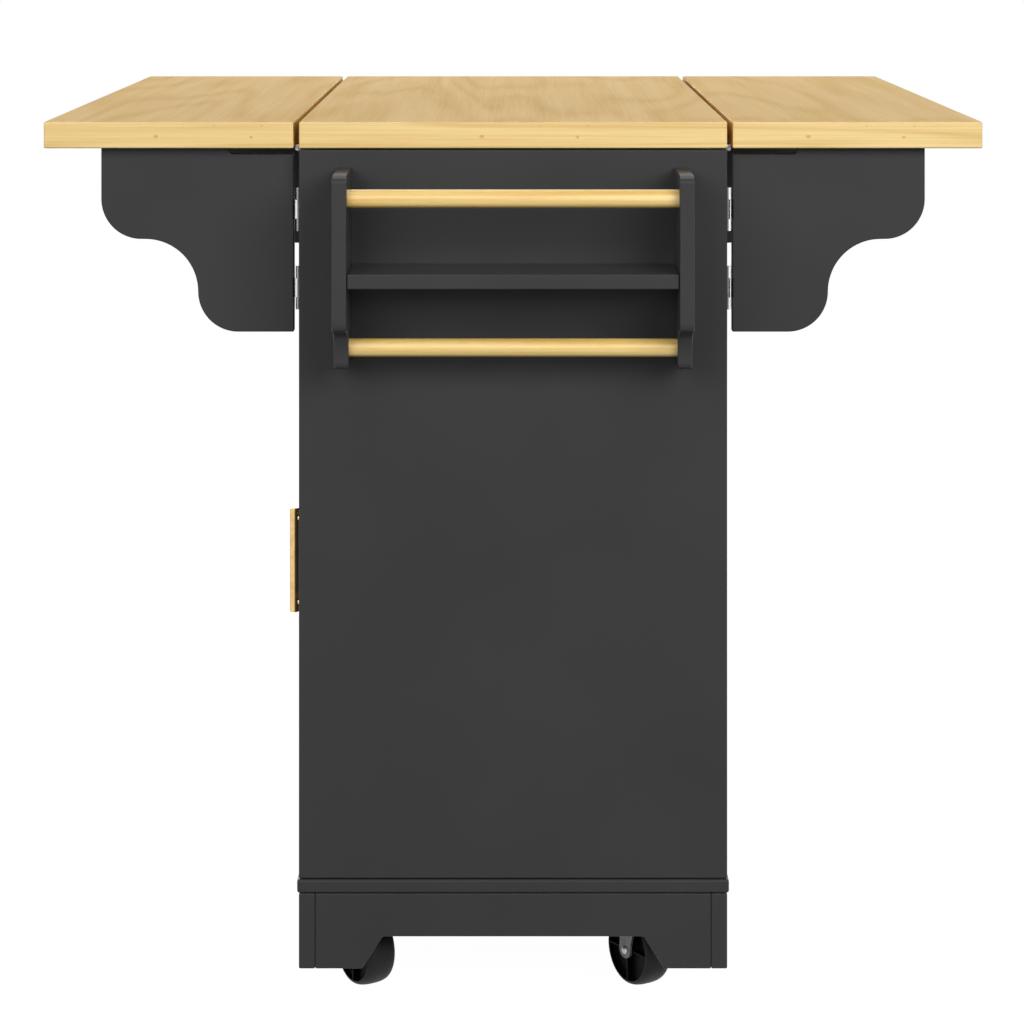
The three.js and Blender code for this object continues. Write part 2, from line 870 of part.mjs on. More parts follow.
// The other half of a bracket hinge, on the bracket's inner edge
function bracketHingeLeaf(side, end, level) {
  const x = bracketPivotX(side);
  const y = bracketPivotY(end);
  const z = hingeSpan(level);
  const parts = knuckles(z);
  const closed = bracketPivotDepth + seat + bracketHingePlate + bracketHingeGap;
  const plate = block(
    [x + side * closed, x + side * (bracketEdgeOffset + seat)],
    [y - end * bracketFaceOffset, y - end * (bracketFaceOffset + bracketThickness - overlap)],
    z,
  );
  const curl = block(
    [x + side * (bracketPivotDepth + seat), x + side * (bracketEdgeOffset + seat)],
    [y, y - end * (bracketFaceOffset + overlap)],
    parts.middle,
  );
  const barrel = postZ(bracketBarrelRadius, x, y, parts.middle, barrelFaces);
  return { solids: [plate, curl, barrel], z: parts.middle };
}

function bracket(side, end) {
  const x = bracketPivotX(side);
  const y = bracketPivotY(end);
  const plate = roundedPlate(bracketOutline(), bracketThickness, bracketEdgeRadius)
    .rotateX(Math.PI / 2)
    .rotateZ(side === FRONT ? Math.PI : 0)
    .translate(x, y - end * (bracketFaceOffset + bracketThickness / 2), 0);
  const halves = Object.values(bracketHingeLevels).map((level) =>
    bracketHingeLeaf(side, end, level),
  );
  const bores = halves.map((half) =>
    postZ(
      hingePinRadius + hingePinClearance,
      x,
      y,
      [half.z[0] - overcut, half.z[1] + overcut],
      pinFaces,
    ),
  );
  const solid = cut(join(plate, ...halves.flatMap((half) => half.solids)), ...bores);
  const name = `bracket_${sideName[side]}_${endName[end]}`;
  return pivoted(x, y, 0, piece(name, solid, blackPaint));
}

// ------------------------------------------------------------------ rack

const rackInnerX = halfWidth - rackInset - rackBoardThickness;

// The side board's outline: how far it stands out from the end panel, against its height
function rackSideOutline() {
  const inset = boardEdgeRadius;
  const back = seat + inset;
  const front = rackDepth - inset;
  const foot = rackFootDepth - inset;
  const bottom = rackBottom + inset;
  const top = rackBottom + rackHeight - inset;
  const step = rackBottom + rackStepHeight + inset;
  const topRadius = rackTopRadius - inset;
  const nose = rackNoseRadius - inset;
  const hollow = rackHollowRadius + inset;
  const footRadius = rackFootRadius - inset;
  const outline = new THREE.Shape();
  outline.moveTo(back, bottom);
  outline.lineTo(foot - footRadius, bottom);
  outline.absarc(foot - footRadius, bottom + footRadius, footRadius, -Math.PI / 2, 0, false);
  outline.absarc(foot + hollow, step - hollow, hollow, Math.PI, Math.PI / 2, true);
  outline.absarc(front - nose, step + nose, nose, -Math.PI / 2, 0, false);
  outline.absarc(front - topRadius, top - topRadius, topRadius, 0, Math.PI / 2, false);
  outline.lineTo(back, top);
  outline.closePath();
  return outline;
}

const rackDowels = {
  upper: { depth: upperDowelDepth, z: rackBottom + upperDowelHeight },
  lower: { depth: lowerDowelDepth, z: rackBottom + lowerDowelHeight },
};

function rack() {
  const face = fromEnd(NEAR, 0);
  const socketX = rackInnerX + dowelSocketDepth;
  const pieces = sides.map((side) => {
    const plate = roundedPlate(
      rackSideOutline(),
      rackBoardThickness,
      boardEdgeRadius,
      smallArcSegments,
    )
      .rotateX(Math.PI / 2)
      .rotateZ(-Math.PI / 2)
      .translate(side * (rackInnerX + rackBoardThickness / 2), face, 0);
    const sockets = Object.values(rackDowels).map(({ depth, z }) =>
      postX(
        dowelRadius + dowelClearance,
        [side * (rackInnerX - overcut), side * socketX],
        face - depth,
        z,
      ),
    );
    return piece(`rack_side_${sideName[side]}`, cut(plate, ...sockets), blackPaint);
  });

  const shelfX = rackInnerX - seat;
  const shelfBottom = rackBottom + rackShelfHeight;
  pieces.push(
    piece(
      'rack_shelf',
      board(
        [-shelfX, shelfX],
        [face - seat, face - rackShelfDepth],
        [shelfBottom, shelfBottom + rackShelfThickness],
      ),
      blackPaint,
    ),
  );
  const dowelEnd = socketX - seat;
  for (const [name, { depth, z }] of Object.entries(rackDowels)) {
    pieces.push(
      piece(
        `rack_dowel_${name}`,
        postX(dowelRadius, [-dowelEnd, dowelEnd], face - depth, z),
        railWood,
      ),
    );
  }
  return pieces;
}

// ------------------------------------------------------------------ assembly

const island = new THREE.Group();
const cabinet = new THREE.Group();
cabinet.position.y = outlineShift;
island.add(cabinet);

cabinet.add(
  piece(
    'top_slab',
    board(
      [-halfWidth, halfWidth],
      [-halfLength, halfLength],
      [slabBottom, islandHeight],
      topEdgeRadius,
    ),
    topWood,
  ),
  ...cabinetBoards(),
  drawer(),
  ...rack(),
);
for (const end of ends) {
  cabinet.add(door(end), endSkirt(end), casterRail(end));
}
for (const side of sides) {
  cabinet.add(leaf(side), baseBoard(side));
  for (const end of ends) {
    cabinet.add(slabHinge(side, end), bracket(side, end), caster(side, end));
    for (const levelName of Object.keys(bracketHingeLevels)) {
      cabinet.add(panelHinge(side, end, levelName));
    }
  }
}

export default island;
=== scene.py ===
"""Drop leaf kitchen island on casters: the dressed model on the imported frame.

Metres in the row frame: X runs across the island with the front at -X, Y along it with the rack end
at -Y, and Z up from the floor. Sizes named below are in millimetres and go through mm().
"""

import json
import math

import bmesh
import bpy
from mathutils import Matrix, Vector


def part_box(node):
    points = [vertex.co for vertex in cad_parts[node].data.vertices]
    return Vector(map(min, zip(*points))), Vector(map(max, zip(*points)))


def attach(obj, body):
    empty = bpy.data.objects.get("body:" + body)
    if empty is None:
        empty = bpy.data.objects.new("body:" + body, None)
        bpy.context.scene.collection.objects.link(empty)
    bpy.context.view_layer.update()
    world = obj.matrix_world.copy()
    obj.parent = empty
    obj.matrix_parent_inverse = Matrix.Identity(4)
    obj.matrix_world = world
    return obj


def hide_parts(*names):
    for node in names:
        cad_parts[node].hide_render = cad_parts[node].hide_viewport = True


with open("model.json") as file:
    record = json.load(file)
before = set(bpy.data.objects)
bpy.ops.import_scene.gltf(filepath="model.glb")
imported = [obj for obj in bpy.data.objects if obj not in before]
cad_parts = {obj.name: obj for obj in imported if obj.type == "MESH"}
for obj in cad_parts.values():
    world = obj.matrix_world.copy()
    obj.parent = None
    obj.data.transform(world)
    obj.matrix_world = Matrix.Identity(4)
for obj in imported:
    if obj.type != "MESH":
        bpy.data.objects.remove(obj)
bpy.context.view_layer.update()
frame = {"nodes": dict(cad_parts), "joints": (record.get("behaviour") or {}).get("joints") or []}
joints = {j["name"]: Vector(j["pos_m"]) for j in frame["joints"] if "pos_m" in j}  # their places
scene = bpy.context.scene

SIDES = {"front": -1, "rear": 1}
ENDS = {"near": -1, "far": 1}
CORNERS = [(side, end) for side in SIDES for end in ENDS]


def mm(*values):
    """Millimetres to metres, one value or several."""
    scaled = [value / 1000 for value in values]
    return scaled[0] if len(scaled) == 1 else scaled


# ---- camera

CAMERA_PLACE = (-0.0011, -3.6579, 1.1476)
CAMERA_LENS = 108.35
CAMERA_SHIFT_Y = -0.577


def add_object(name, data):
    item = bpy.data.objects.new(name, data)
    scene.collection.objects.link(item)
    return item


def add_camera():
    data = bpy.data.cameras.new("camera")
    data.lens = CAMERA_LENS
    data.shift_y = CAMERA_SHIFT_Y
    camera = add_object("camera", data)
    camera.location = CAMERA_PLACE
    camera.rotation_euler = (math.pi / 2, 0, 0)
    scene.camera = camera


# ---- material nodes


def new_material(name):
    material = bpy.data.materials.new(name)
    material.use_nodes = True
    return material, material.node_tree, material.node_tree.nodes["Principled BSDF"]


def feed(tree, socket, value):
    """Sets a socket to a number, colour or vector, or links another node's output to it."""
    if isinstance(value, bpy.types.NodeSocket):
        tree.links.new(value, socket)
    else:
        socket.default_value = value


def add_node(tree, kind, inputs=None, **settings):
    """Adds a node with its settings, and its inputs by name or number."""
    node = tree.nodes.new(kind)
    for name, value in settings.items():
        setattr(node, name, value)
    for key, value in (inputs or {}).items():
        feed(tree, node.inputs[key], value)
    return node


def noise(tree, scale, place=(0, 0, 0), detail=3.0, roughness=0.5, distortion=0.0):
    """Noise in object coordinates, at one scale or at a scale on each axis."""
    source = add_node(tree, "ShaderNodeTexCoord").outputs["Object"]
    scales = scale if isinstance(scale, tuple) else (scale,) * 3
    inputs = {"Vector": source, "Scale": scales, "Location": place}
    vector = add_node(tree, "ShaderNodeMapping", inputs).outputs["Vector"]
    inputs = {
        "Vector": vector, "Scale": 1.0, "Detail": detail, "Roughness": roughness,
        "Distortion": distortion,
    }
    return add_node(tree, "ShaderNodeTexNoise", inputs).outputs["Fac"]


def calculate(tree, operation, *values):
    inputs = dict(enumerate(values))
    return add_node(tree, "ShaderNodeMath", inputs, operation=operation).outputs["Value"]


def spread(tree, value, span, to=(0.0, 1.0)):
    """Maps a value from one range to another, held at the ends."""
    names = ("Value", "From Min", "From Max", "To Min", "To Max")
    inputs = dict(zip(names, (value, *span, *to)))
    return add_node(tree, "ShaderNodeMapRange", inputs).outputs["Result"]


def ramp(tree, value, positions, colors):
    """A colour ramp with sRGB colours at its positions."""
    node = add_node(tree, "ShaderNodeValToRGB", {"Fac": value})
    elements = node.color_ramp.elements
    while len(elements) < len(colors):
        elements.new(0.5)
    for element, position, color in zip(elements, positions, colors):
        element.position = position
        element.color = linear(color)
    return node.outputs["Color"]


MIX_FIRST, MIX_SECOND, MIX_RESULT = 6, 7, 2  # the mix node's sockets for colours


def mix(tree, factor, first, second):
    inputs = {"Factor": factor, MIX_FIRST: first, MIX_SECOND: second}
    return add_node(tree, "ShaderNodeMix", inputs, data_type="RGBA").outputs[MIX_RESULT]


def bump(tree, height, distance, strength=0.3):
    inputs = {"Height": height, "Distance": distance, "Strength": strength}
    return add_node(tree, "ShaderNodeBump", inputs).outputs["Normal"]


def dress(tree, shader, color, roughness, normal):
    """Links a surface's colour, roughness and bumps to its shader."""
    for name, value in (("Base Color", color), ("Roughness", roughness), ("Normal", normal)):
        tree.links.new(value, shader.inputs[name])


def linear(color):
    """An sRGB colour of 0 to 255 as linear RGBA."""
    channels = [value / 255 for value in color]
    lit = [c / 12.92 if c <= 0.04045 else ((c + 0.055) / 1.055) ** 2.4 for c in channels]
    return (*lit, 1.0)


# ---- materials

NOISE_SPAN = (0.3, 0.7)  # where nearly all of a noise's values lie
PAINT_CLOUDS, PAINT_SMEARS, PAINT_PEEL = 5, 22, 420  # scales of its marks
PAINT_TONES = ((52, 52, 52), (56, 56, 56))
PAINT_ROUGHNESS = (0.33, 0.37)
PAINT_SHINE = 0.15
PAINT_BUMP = mm(0.05)


def black_paint():
    """Satin black lacquer, with faint cloudiness and a fine orange peel."""
    material, tree, shader = new_material("black_paint")
    cloud = noise(tree, PAINT_CLOUDS, detail=2)
    color = ramp(tree, cloud, NOISE_SPAN, PAINT_TONES)
    peel = noise(tree, PAINT_PEEL, detail=2)
    smear = noise(tree, PAINT_SMEARS, detail=4)
    roughness = spread(tree, smear, NOISE_SPAN, PAINT_ROUGHNESS)
    dress(tree, shader, color, roughness, bump(tree, peel, PAINT_BUMP))
    shader.inputs["Specular IOR Level"].default_value = PAINT_SHINE
    return material


# Scales across and along the grain
FIBRES, STREAKS, PORES = (560, 5), (48, 1.1), (1100, 30)
STREAK_PLACE, PORE_PLACE = (3, 5, 7), (1, 2, 3)
STREAK_SPAN, RING_SPAN, PORE_SPAN = (0.28, 0.72), (0.0, 0.34), (0.64, 0.74)
RING_SHARE, STREAK_SHARE, FIBRE_SHARE, PORE_SHARE = 0.30, 0.34, 0.36, 0.35
TONE_STOPS = (0.12, 0.5, 0.88)
GLOW_DEPTH = mm(8)
GLOW_REACH = (1.0, 0.6, 0.2)  # of red, green and blue light
FIBRE_BUMP = 0.6
KNOT_TONE = (190, 138, 80)
KNOT_STRETCH = 1.5  # a knot's length over its height
KNOT_REPEAT = 0.3427  # the veneer's own length along X
KNOT_SPAN = (0.7, 1.7)  # where a knot starts to fade and where it ends, in its radii
KNOT_SHARE = 0.75
KNOT_RAGGEDNESS = 700


def wood(
    name, along, tones, figure, fibre_depth, rough=(0.42, 0.56), shine=0.3, marks=(), glow=0.0
):
    """Lacquered wood with its grain along one axis.

    tones are three sRGB colours from dark to light, figure is (scale across, scale along, rings),
    shine is the lacquer's share of reflection, marks are small knots as (x, z, radius) in metres,
    repeated along X with the veneer, and glow is the share of light that passes under the surface.
    """
    material, tree, shader = new_material(name)

    def grain(scales, place=(0, 0, 0), **settings):
        """Noise at a scale across the grain and one along it."""
        scale = tuple(scales[1] if axis == along else scales[0] for axis in "XYZ")
        return noise(tree, scale, place, **settings)

    def share(value, span, weight):
        return calculate(tree, "MULTIPLY", spread(tree, value, span), weight)

    field = grain(figure[:2], detail=1.5, distortion=0.25)
    ring = calculate(tree, "PINGPONG", calculate(tree, "MULTIPLY", field, figure[2]), 0.5)
    fibre = grain(FIBRES, detail=4, roughness=0.62)
    streak = grain(STREAKS, STREAK_PLACE)
    fibres = share(fibre, NOISE_SPAN, FIBRE_SHARE)
    tone = calculate(tree, "ADD", share(streak, STREAK_SPAN, STREAK_SHARE), fibres)
    tone = calculate(tree, "ADD", share(ring, RING_SPAN, RING_SHARE), tone)
    color = ramp(tree, tone, TONE_STOPS, tones)
    pore = grain(PORES, PORE_PLACE, detail=1)
    color = mix(tree, spread(tree, pore, PORE_SPAN, (0, PORE_SHARE)), color, linear(tones[0]))
    if marks:
        color = mix(tree, knots(tree, marks), color, linear(KNOT_TONE))
    roughness = spread(tree, fibre, NOISE_SPAN, rough[::-1])
    dress(tree, shader, color, roughness, bump(tree, fibre, fibre_depth, FIBRE_BUMP))
    shader.inputs["Specular IOR Level"].default_value = shine
    shader.inputs["Subsurface Weight"].default_value = glow
    shader.inputs["Subsurface Radius"].default_value = GLOW_REACH
    shader.inputs["Subsurface Scale"].default_value = GLOW_DEPTH
    return material


def knots(tree, marks):
    """How far a point is inside one of the knots, from 0 to 1."""
    place = add_node(tree, "ShaderNodeTexCoord").outputs["Object"]
    axes = add_node(tree, "ShaderNodeSeparateXYZ", {"Vector": place}).outputs
    wrapped = calculate(tree, "WRAP", axes["X"], KNOT_REPEAT / 2, -KNOT_REPEAT / 2)
    ragged = noise(tree, KNOT_RAGGEDNESS, detail=2)
    total = 0.0
    for x, z, radius in marks:
        dx = calculate(tree, "SUBTRACT", wrapped, x)
        dz = calculate(tree, "MULTIPLY", calculate(tree, "SUBTRACT", axes["Z"], z), KNOT_STRETCH)
        squares = [calculate(tree, "MULTIPLY", d, d) for d in (dx, dz)]
        reach = calculate(tree, "SQRT", calculate(tree, "ADD", *squares))
        reach = calculate(tree, "ADD", reach, calculate(tree, "MULTIPLY", ragged, radius))
        limits = [radius * share for share in KNOT_SPAN]
        inside = spread(tree, reach, limits, (KNOT_SHARE, 0))
        total = calculate(tree, "MAXIMUM", inside, total)
    return total


BRUSHED, WEAR_BLOTS = 90, 130
WEAR_SPAN = (0.35, 0.6)
METAL_SPREAD = (0.8, 1.3)  # of its roughness
METAL_BUMP = mm(0.02)
# Where the painted dark reflection on a metal's turned-away faces starts and where it is full
PAINTED_SHADE_SPAN = (0.5, 0.8)


def metal(name, color, rough, brushed=BRUSHED, wear=0.12, bare=1.0, rim=None):
    """A metal with a brushed or polished face and faint spots of wear.

    bare is the share of it that mirrors, and the rest is a pale plated haze. rim is a painted dark
    reflection: the darker tone that it takes where its face turns away from the view.
    """
    material, tree, shader = new_material(name)
    grain = noise(tree, brushed)
    blot = noise(tree, WEAR_BLOTS)
    dark = [value * (1 - wear) for value in color]
    tone = ramp(tree, blot, WEAR_SPAN, (dark, color))
    # Painted reflection: the colour darkens to rim where the face turns away from the view
    if rim:
        away = add_node(tree, "ShaderNodeLayerWeight", {"Blend": 0.5}).outputs["Facing"]
        tone = mix(tree, spread(tree, away, PAINTED_SHADE_SPAN), tone, linear(rim))
    roughness = spread(tree, grain, NOISE_SPAN, [rough * share for share in METAL_SPREAD])
    dress(tree, shader, tone, roughness, bump(tree, grain, METAL_BUMP))
    shader.inputs["Metallic"].default_value = bare
    return material


SCUFFS, MOULD_GRAIN = 60, 900
SCUFF_SPAN = (0.4, 0.75)
PLASTIC_SPREAD = (0.85, 1.2)
PLASTIC_BUMP = mm(0.03)


def moulded_plastic(name, dark, light, rough, shine):
    """Moulded nylon or rubber with a fine matt texture and scuffs."""
    material, tree, shader = new_material(name)
    scuff = noise(tree, SCUFFS, detail=5, roughness=0.65)
    grain = noise(tree, MOULD_GRAIN, detail=2)
    tone = ramp(tree, scuff, SCUFF_SPAN, (dark, light))
    roughness = spread(tree, scuff, NOISE_SPAN, [rough * share for share in PLASTIC_SPREAD])
    dress(tree, shader, tone, roughness, bump(tree, grain, PLASTIC_BUMP))
    shader.inputs["Specular IOR Level"].default_value = shine
    return material


# The tones of each wood from dark to light, and the figures as (scale across, scale along, rings)
TOP_TONES = ((217, 183, 127), (228, 196, 142), (235, 206, 155))
EDGE_TONES = ((206, 165, 94), (227, 194, 128), (241, 214, 152))
# The side band is the edge band painted darker and warmer, as the shade in the gaps between the slab
# and the leaves
SIDE_SHADE_TONES = ((184, 138, 66), (208, 162, 84), (224, 180, 106))
ROD_TONES = ((202, 154, 70), (226, 188, 104), (238, 212, 142))
BOX_TONES = ((196, 162, 112), (222, 192, 144), (234, 210, 168))
TOP_FIGURE, BAND_FIGURE = (5.5, 0.75, 9), (26, 1.6, 5)
ROD_FIGURE, BOX_FIGURE = (60, 1.2, 4), (12, 0.9, 7)
# The brass's second tone is a painted dark reflection, taken where the bars turn away
BRASS_TONE, BRASS_PAINTED_SHADE = (230, 194, 134), (128, 96, 66)
EDGE_KNOTS = (
    mm(-32.6, 921.5, 3.0), mm(67.6, 920.8, 2.2), mm(29.0, 932.6, 1.2), mm(78.8, 932.6, 1.2)
)

MATERIALS = {
    "black": black_paint(),
    "top": wood("top_veneer", "Y", TOP_TONES, TOP_FIGURE, mm(0.03), (0.62, 0.74), 0.0),
    "edge": wood("edge_band", "X", EDGE_TONES, BAND_FIGURE, mm(0.05), marks=EDGE_KNOTS),
    "side": wood("side_edge_painted_shade", "Y", SIDE_SHADE_TONES, BAND_FIGURE, mm(0.05), shine=0.04),
    "rod": wood("rail_wood", "X", ROD_TONES, ROD_FIGURE, mm(0.04), (0.36, 0.46), 1.0, glow=0.4),
    "box_end": wood("drawer_end", "Y", BOX_TONES, BOX_FIGURE, mm(0.08), (0.5, 0.62)),
    "box_side": wood("drawer_side", "X", BOX_TONES, BOX_FIGURE, mm(0.08), (0.5, 0.62)),
    "brass": metal("polished_brass", BRASS_TONE, 0.2, (700, 700, 12), wear=0.08, rim=BRASS_PAINTED_SHADE),
    "nickel": metal("bright_nickel", (250, 250, 250), 0.3, wear=0.02, bare=0.35),
    "zinc": metal("zinc_plate", (100, 100, 102), 0.38, 300),
    # A lighter zinc for the fork's cut edges, painted as a highlight along them
    "zinc_edge_highlight": metal("zinc_painted_edge_highlight", (216, 216, 219), 0.3, 300, bare=0.5),
    # Dark steel painted where the hinges lie in shade: the leaf flaps, the knuckle cores and the
    # bracket tongues
    "painted_shade_steel": metal("steel_darkened_as_shade", (30, 30, 31), 0.45),
    "tread": moulded_plastic("wheel_tread", (47, 47, 48), (54, 54, 55), 0.5, 0.14),
    "hub": moulded_plastic("wheel_hub", (5, 5, 6), (9, 9, 10), 0.45, 0.06),
    "steel_pin": metal("pin_steel", (190, 190, 194), 0.3),
}

# ---- mesh forms

SMOOTH_ANGLE, RIM_ANGLE = math.radians(38), math.radians(30)
ROUND_FACES, SMALL_FACES, ARC_STEPS = 48, 24, 20
TURN_X, TURN_Y = (Matrix.Rotation(math.pi / 2, 4, axis) for axis in "XY")
BACK_X = Matrix.Rotation(-math.pi / 2, 4, "X")
NORMAL_WEIGHT = 100
EDGE_SEGMENTS, BOARD_SEGMENTS, FINE_SEGMENTS = 3, 4, 5  # of a rounded edge


def shift(x, y, z):
    return Matrix.Translation((x, y, z))


def arc(x, y, radius, start, stop, steps=ARC_STEPS):
    """Points on an arc about (x, y), between two angles in degrees, both ends in."""
    angles = [math.radians(start + (stop - start) * i / steps) for i in range(steps + 1)]
    return [(x + radius * math.cos(a), y + radius * math.sin(a)) for a in angles]


def mesh_of(form, name):
    """A form's mesh. It frees the form."""
    mesh = bpy.data.meshes.new(name)
    form.to_mesh(mesh)
    form.free()
    return mesh


def merged(*forms):
    """Several forms as one, which frees them."""
    whole = bmesh.new()
    for form in forms:
        mesh = mesh_of(form, "form")
        whole.from_mesh(mesh)
        bpy.data.meshes.remove(mesh)
    return whole


def moved(form, matrix):
    form.transform(matrix)
    return form


def bevel(form, edges, radius, segments):
    bmesh.ops.bevel(
        form, geom=edges, offset=radius, segments=segments, profile=0.5, affect="EDGES",
        clamp_overlap=True,
    )


def finish(form, index=1):
    """Gives a form one of its piece's materials by number, or else the second."""
    for face in form.faces:
        face.material_index = index
    return form


def rounded_box(low, high, radius, segments=EDGE_SEGMENTS):
    form = bmesh.new()
    bmesh.ops.create_cube(form, size=1)
    low, high = Vector(low), Vector(high)
    size = [abs(value) for value in high - low]
    form.transform(Matrix.Translation((low + high) / 2) @ Matrix.Diagonal((*size, 1)))
    bevel(form, form.edges[:], radius, segments)
    return form


def add_ring(form, radius, height, angles):
    return [form.verts.new((radius * math.cos(a), radius * math.sin(a), height)) for a in angles]


def bridge(form, one, two, count=None):
    """Joins two loops by faces all round, where a loop of one point stands for an end."""
    count = count or len(one)
    for i in range(count):
        j = (i + 1) % count
        corners = (one[i % len(one)], one[j % len(one)], two[j % len(two)], two[i % len(two)])
        unique = list(dict.fromkeys(corners))
        if len(unique) > 2:
            form.faces.new(unique)


def prism(outline, thickness, radius=0.0, segments=BOARD_SEGMENTS, corner=RIM_ANGLE):
    """A plate in the XY plane, centred on Z. Its rims and the outline's corners are rounded."""
    form = bmesh.new()
    low = [form.verts.new((x, y, -thickness / 2)) for x, y in outline]
    high = [form.verts.new((x, y, thickness / 2)) for x, y in outline]
    form.faces.new(low[::-1])
    form.faces.new(high)
    bridge(form, low, high)
    if radius:
        form.normal_update()
        rims = [e for e in form.edges if e.calc_face_angle(0) > corner]
        bevel(form, rims, radius, segments)
    return form


def lathe(profile, faces=ROUND_FACES, closed=False):
    """A solid turned about Z from (radius, height) points. A radius of zero closes an end."""
    form = bmesh.new()
    rings = []
    for radius, height in profile:
        count = faces if radius > 0 else 1
        angles = [math.tau * i / faces for i in range(count)]
        rings.append(add_ring(form, radius, height, angles))
    pairs = list(zip(rings, rings[1:]))
    if closed:
        pairs.append((rings[-1], rings[0]))
    for one, two in pairs:
        bridge(form, one, two, faces)
    return form


def round_bar(radius, low, high, soft=0.0, bore=0.0, faces=SMALL_FACES):
    """A round bar about Z with its ends softened, solid or with a bore."""
    side = [(radius, low + soft), (radius, high - soft)]
    if soft:
        side = [(radius - soft, low), *side, (radius - soft, high)]
    return lathe([(bore, low), *side, (bore, high)], faces, closed=bore > 0)


def rolled_strip(outer, inner, start, stop, low, high):
    """A ring's part about Z, between two angles in degrees."""
    outline = arc(0, 0, outer, start, stop, SMALL_FACES)
    outline += arc(0, 0, inner, stop, start, SMALL_FACES)
    return moved(prism(outline, high - low), shift(0, 0, (low + high) / 2))


def add_piece(name, form, materials, body, replaced=(), smooth=SMOOTH_ANGLE):
    """A finished piece in the scene. It rides on a body and takes its finish from a slot."""
    bmesh.ops.recalc_face_normals(form, faces=form.faces)
    mesh = mesh_of(form, name)
    for material in materials:
        mesh.materials.append(MATERIALS[material])
    mesh.shade_smooth()
    mesh.set_sharp_from_angle(angle=smooth)
    piece = add_object(name, mesh)
    weighted = piece.modifiers.new("weighted_normal", "WEIGHTED_NORMAL")
    weighted.keep_sharp = True
    weighted.weight = NORMAL_WEIGHT
    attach(piece, body)
    if replaced:
        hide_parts(*replaced)
    return piece


def carve(piece, cutter):
    """Cuts a form out of a piece's mesh."""
    bmesh.ops.recalc_face_normals(cutter, faces=cutter.faces)
    mesh = mesh_of(cutter, "cutter")
    tool = add_object("cutter", mesh)
    modifier = piece.modifiers.new("carve", "BOOLEAN")
    modifier.object = tool
    modifier.solver = "EXACT"
    piece.modifiers.move(len(piece.modifiers) - 1, 0)
    bpy.context.view_layer.objects.active = piece
    with bpy.context.temp_override(object=piece, active_object=piece):
        bpy.ops.object.modifier_apply(modifier=modifier.name)
    bpy.data.objects.remove(tool)
    bpy.data.meshes.remove(mesh)


# A head's profile from its foot up: shares of its radius, and shares of its rise below the face
HEAD_PROFILE = ((1.0, 1.0), (0.94, 0.35), (0.72, 0.0))
CROSS_LENGTH, CROSS_WIDTH, CROSS_DEPTH = 0.56, 0.15, 0.5  # shares of the head's radius
CROSS_TAPER = 0.8


def screw_head(radius, rise):
    """A countersunk head with a cross recess, its face up at Z = 0."""
    form = bmesh.new()
    arm, slot = radius * CROSS_LENGTH, radius * CROSS_WIDTH
    cross = [
        (arm, -slot), (arm, slot), (slot, slot), (slot, arm), (-slot, arm), (-slot, slot),
        (-arm, slot), (-arm, -slot), (-slot, -slot), (-slot, -arm), (slot, -arm), (slot, -slot),
    ]
    count = len(cross) * 2
    start = math.atan2(-slot, arm)
    turns = [start + math.tau / count * i for i in range(count)]
    loops = [add_ring(form, radius * share, -rise * drop, turns) for share, drop in HEAD_PROFILE]
    top = [form.verts.new((x, y, 0)) for x, y in cross]
    depth = radius * CROSS_DEPTH
    floor = [form.verts.new((x * CROSS_TAPER, y * CROSS_TAPER, -depth)) for x, y in cross]
    for one, two in zip(loops, loops[1:]):
        bridge(form, one, two)
    outer = loops[-1]
    for i in range(len(cross)):
        j = (i + 1) % len(cross)
        form.faces.new((outer[2 * i], outer[2 * i + 1], top[i]))
        form.faces.new((outer[2 * i + 1], outer[(2 * i + 2) % count], top[j], top[i]))
        form.faces.new((top[i], top[j], floor[j], floor[i]))
    form.faces.new(floor[::-1])
    form.faces.new(loops[0][::-1])
    return form


def facing(place, direction):
    """Turns a form's Z towards a direction and moves it to a place."""
    turn = Vector((0, 0, 1)).rotation_difference(Vector(direction)).to_matrix().to_4x4()
    return shift(*place) @ turn


# ---- top and leaves

TOP_RADIUS = mm(1.8)
VENEER, BAND, SHADED_SIDE = 0, 1, 2
FACE_UP = 0.6  # a face whose normal is at least this upright has the top's veneer


def add_top_board(node, body):
    low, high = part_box(node)
    form = rounded_box(low, high, TOP_RADIUS, FINE_SEGMENTS)
    form.normal_update()
    for face in form.faces:
        if abs(face.normal.z) > FACE_UP:
            face.material_index = VENEER
        else:
            # Faces along X take the side band, which is painted darker as the shade of the gaps
            # beside the leaves
            face.material_index = SHADED_SIDE if abs(face.normal.x) > abs(face.normal.y) else BAND
    add_piece(f"{node}_board", form, ["top", "edge", "side"], body, [node])


def add_top():
    add_top_board("top_slab", "cabinet")
    for side in SIDES:
        add_top_board(f"leaf_{side}", f"leaf_{side}")


# ---- cabinet boards

BOARD_RADIUS, BOTTOM_RADIUS = mm(1.6, 2.5)
SHELVES = ("shelf_near", "shelf_centre", "shelf_far")
PLAIN_BOARDS = ("partition_near", "partition_far", *SHELVES, "back_panel", "drawer_deck")
CUTOUT_HEIGHT, CUTOUT_TOP, CUTOUT_BOTTOM = mm(33.7, 274, 317)
SKIRT_FULLNESS = mm(0.85)  # closes the joint between the skirt and the base boards
SEAM = mm(0.5)  # how far a board's rounded edge stays back from the board that it meets
TOP_SEAM = mm(1.2)  # and from the top slab
DRAWER_WALL, DRAWER_FLOOR, BOX_EDGE = mm(12, 8, 0.8)
DOOR_PIN_REACH = mm(8)  # from the door's edge to the pin's end
DOOR_PIN_RADIUS = mm(2.5)
DOOR_PIN_SEAT = mm(3)  # how far a pin stands in the door


def board_form(low, high, radius=BOARD_RADIUS, segments=BOARD_SEGMENTS):
    return rounded_box(low, high, radius, segments)


def painted(node, form, body="cabinet", name=None):
    """A black board in the place of a node."""
    add_piece(name or f"{node}_board", form, ["black"], body, [node])


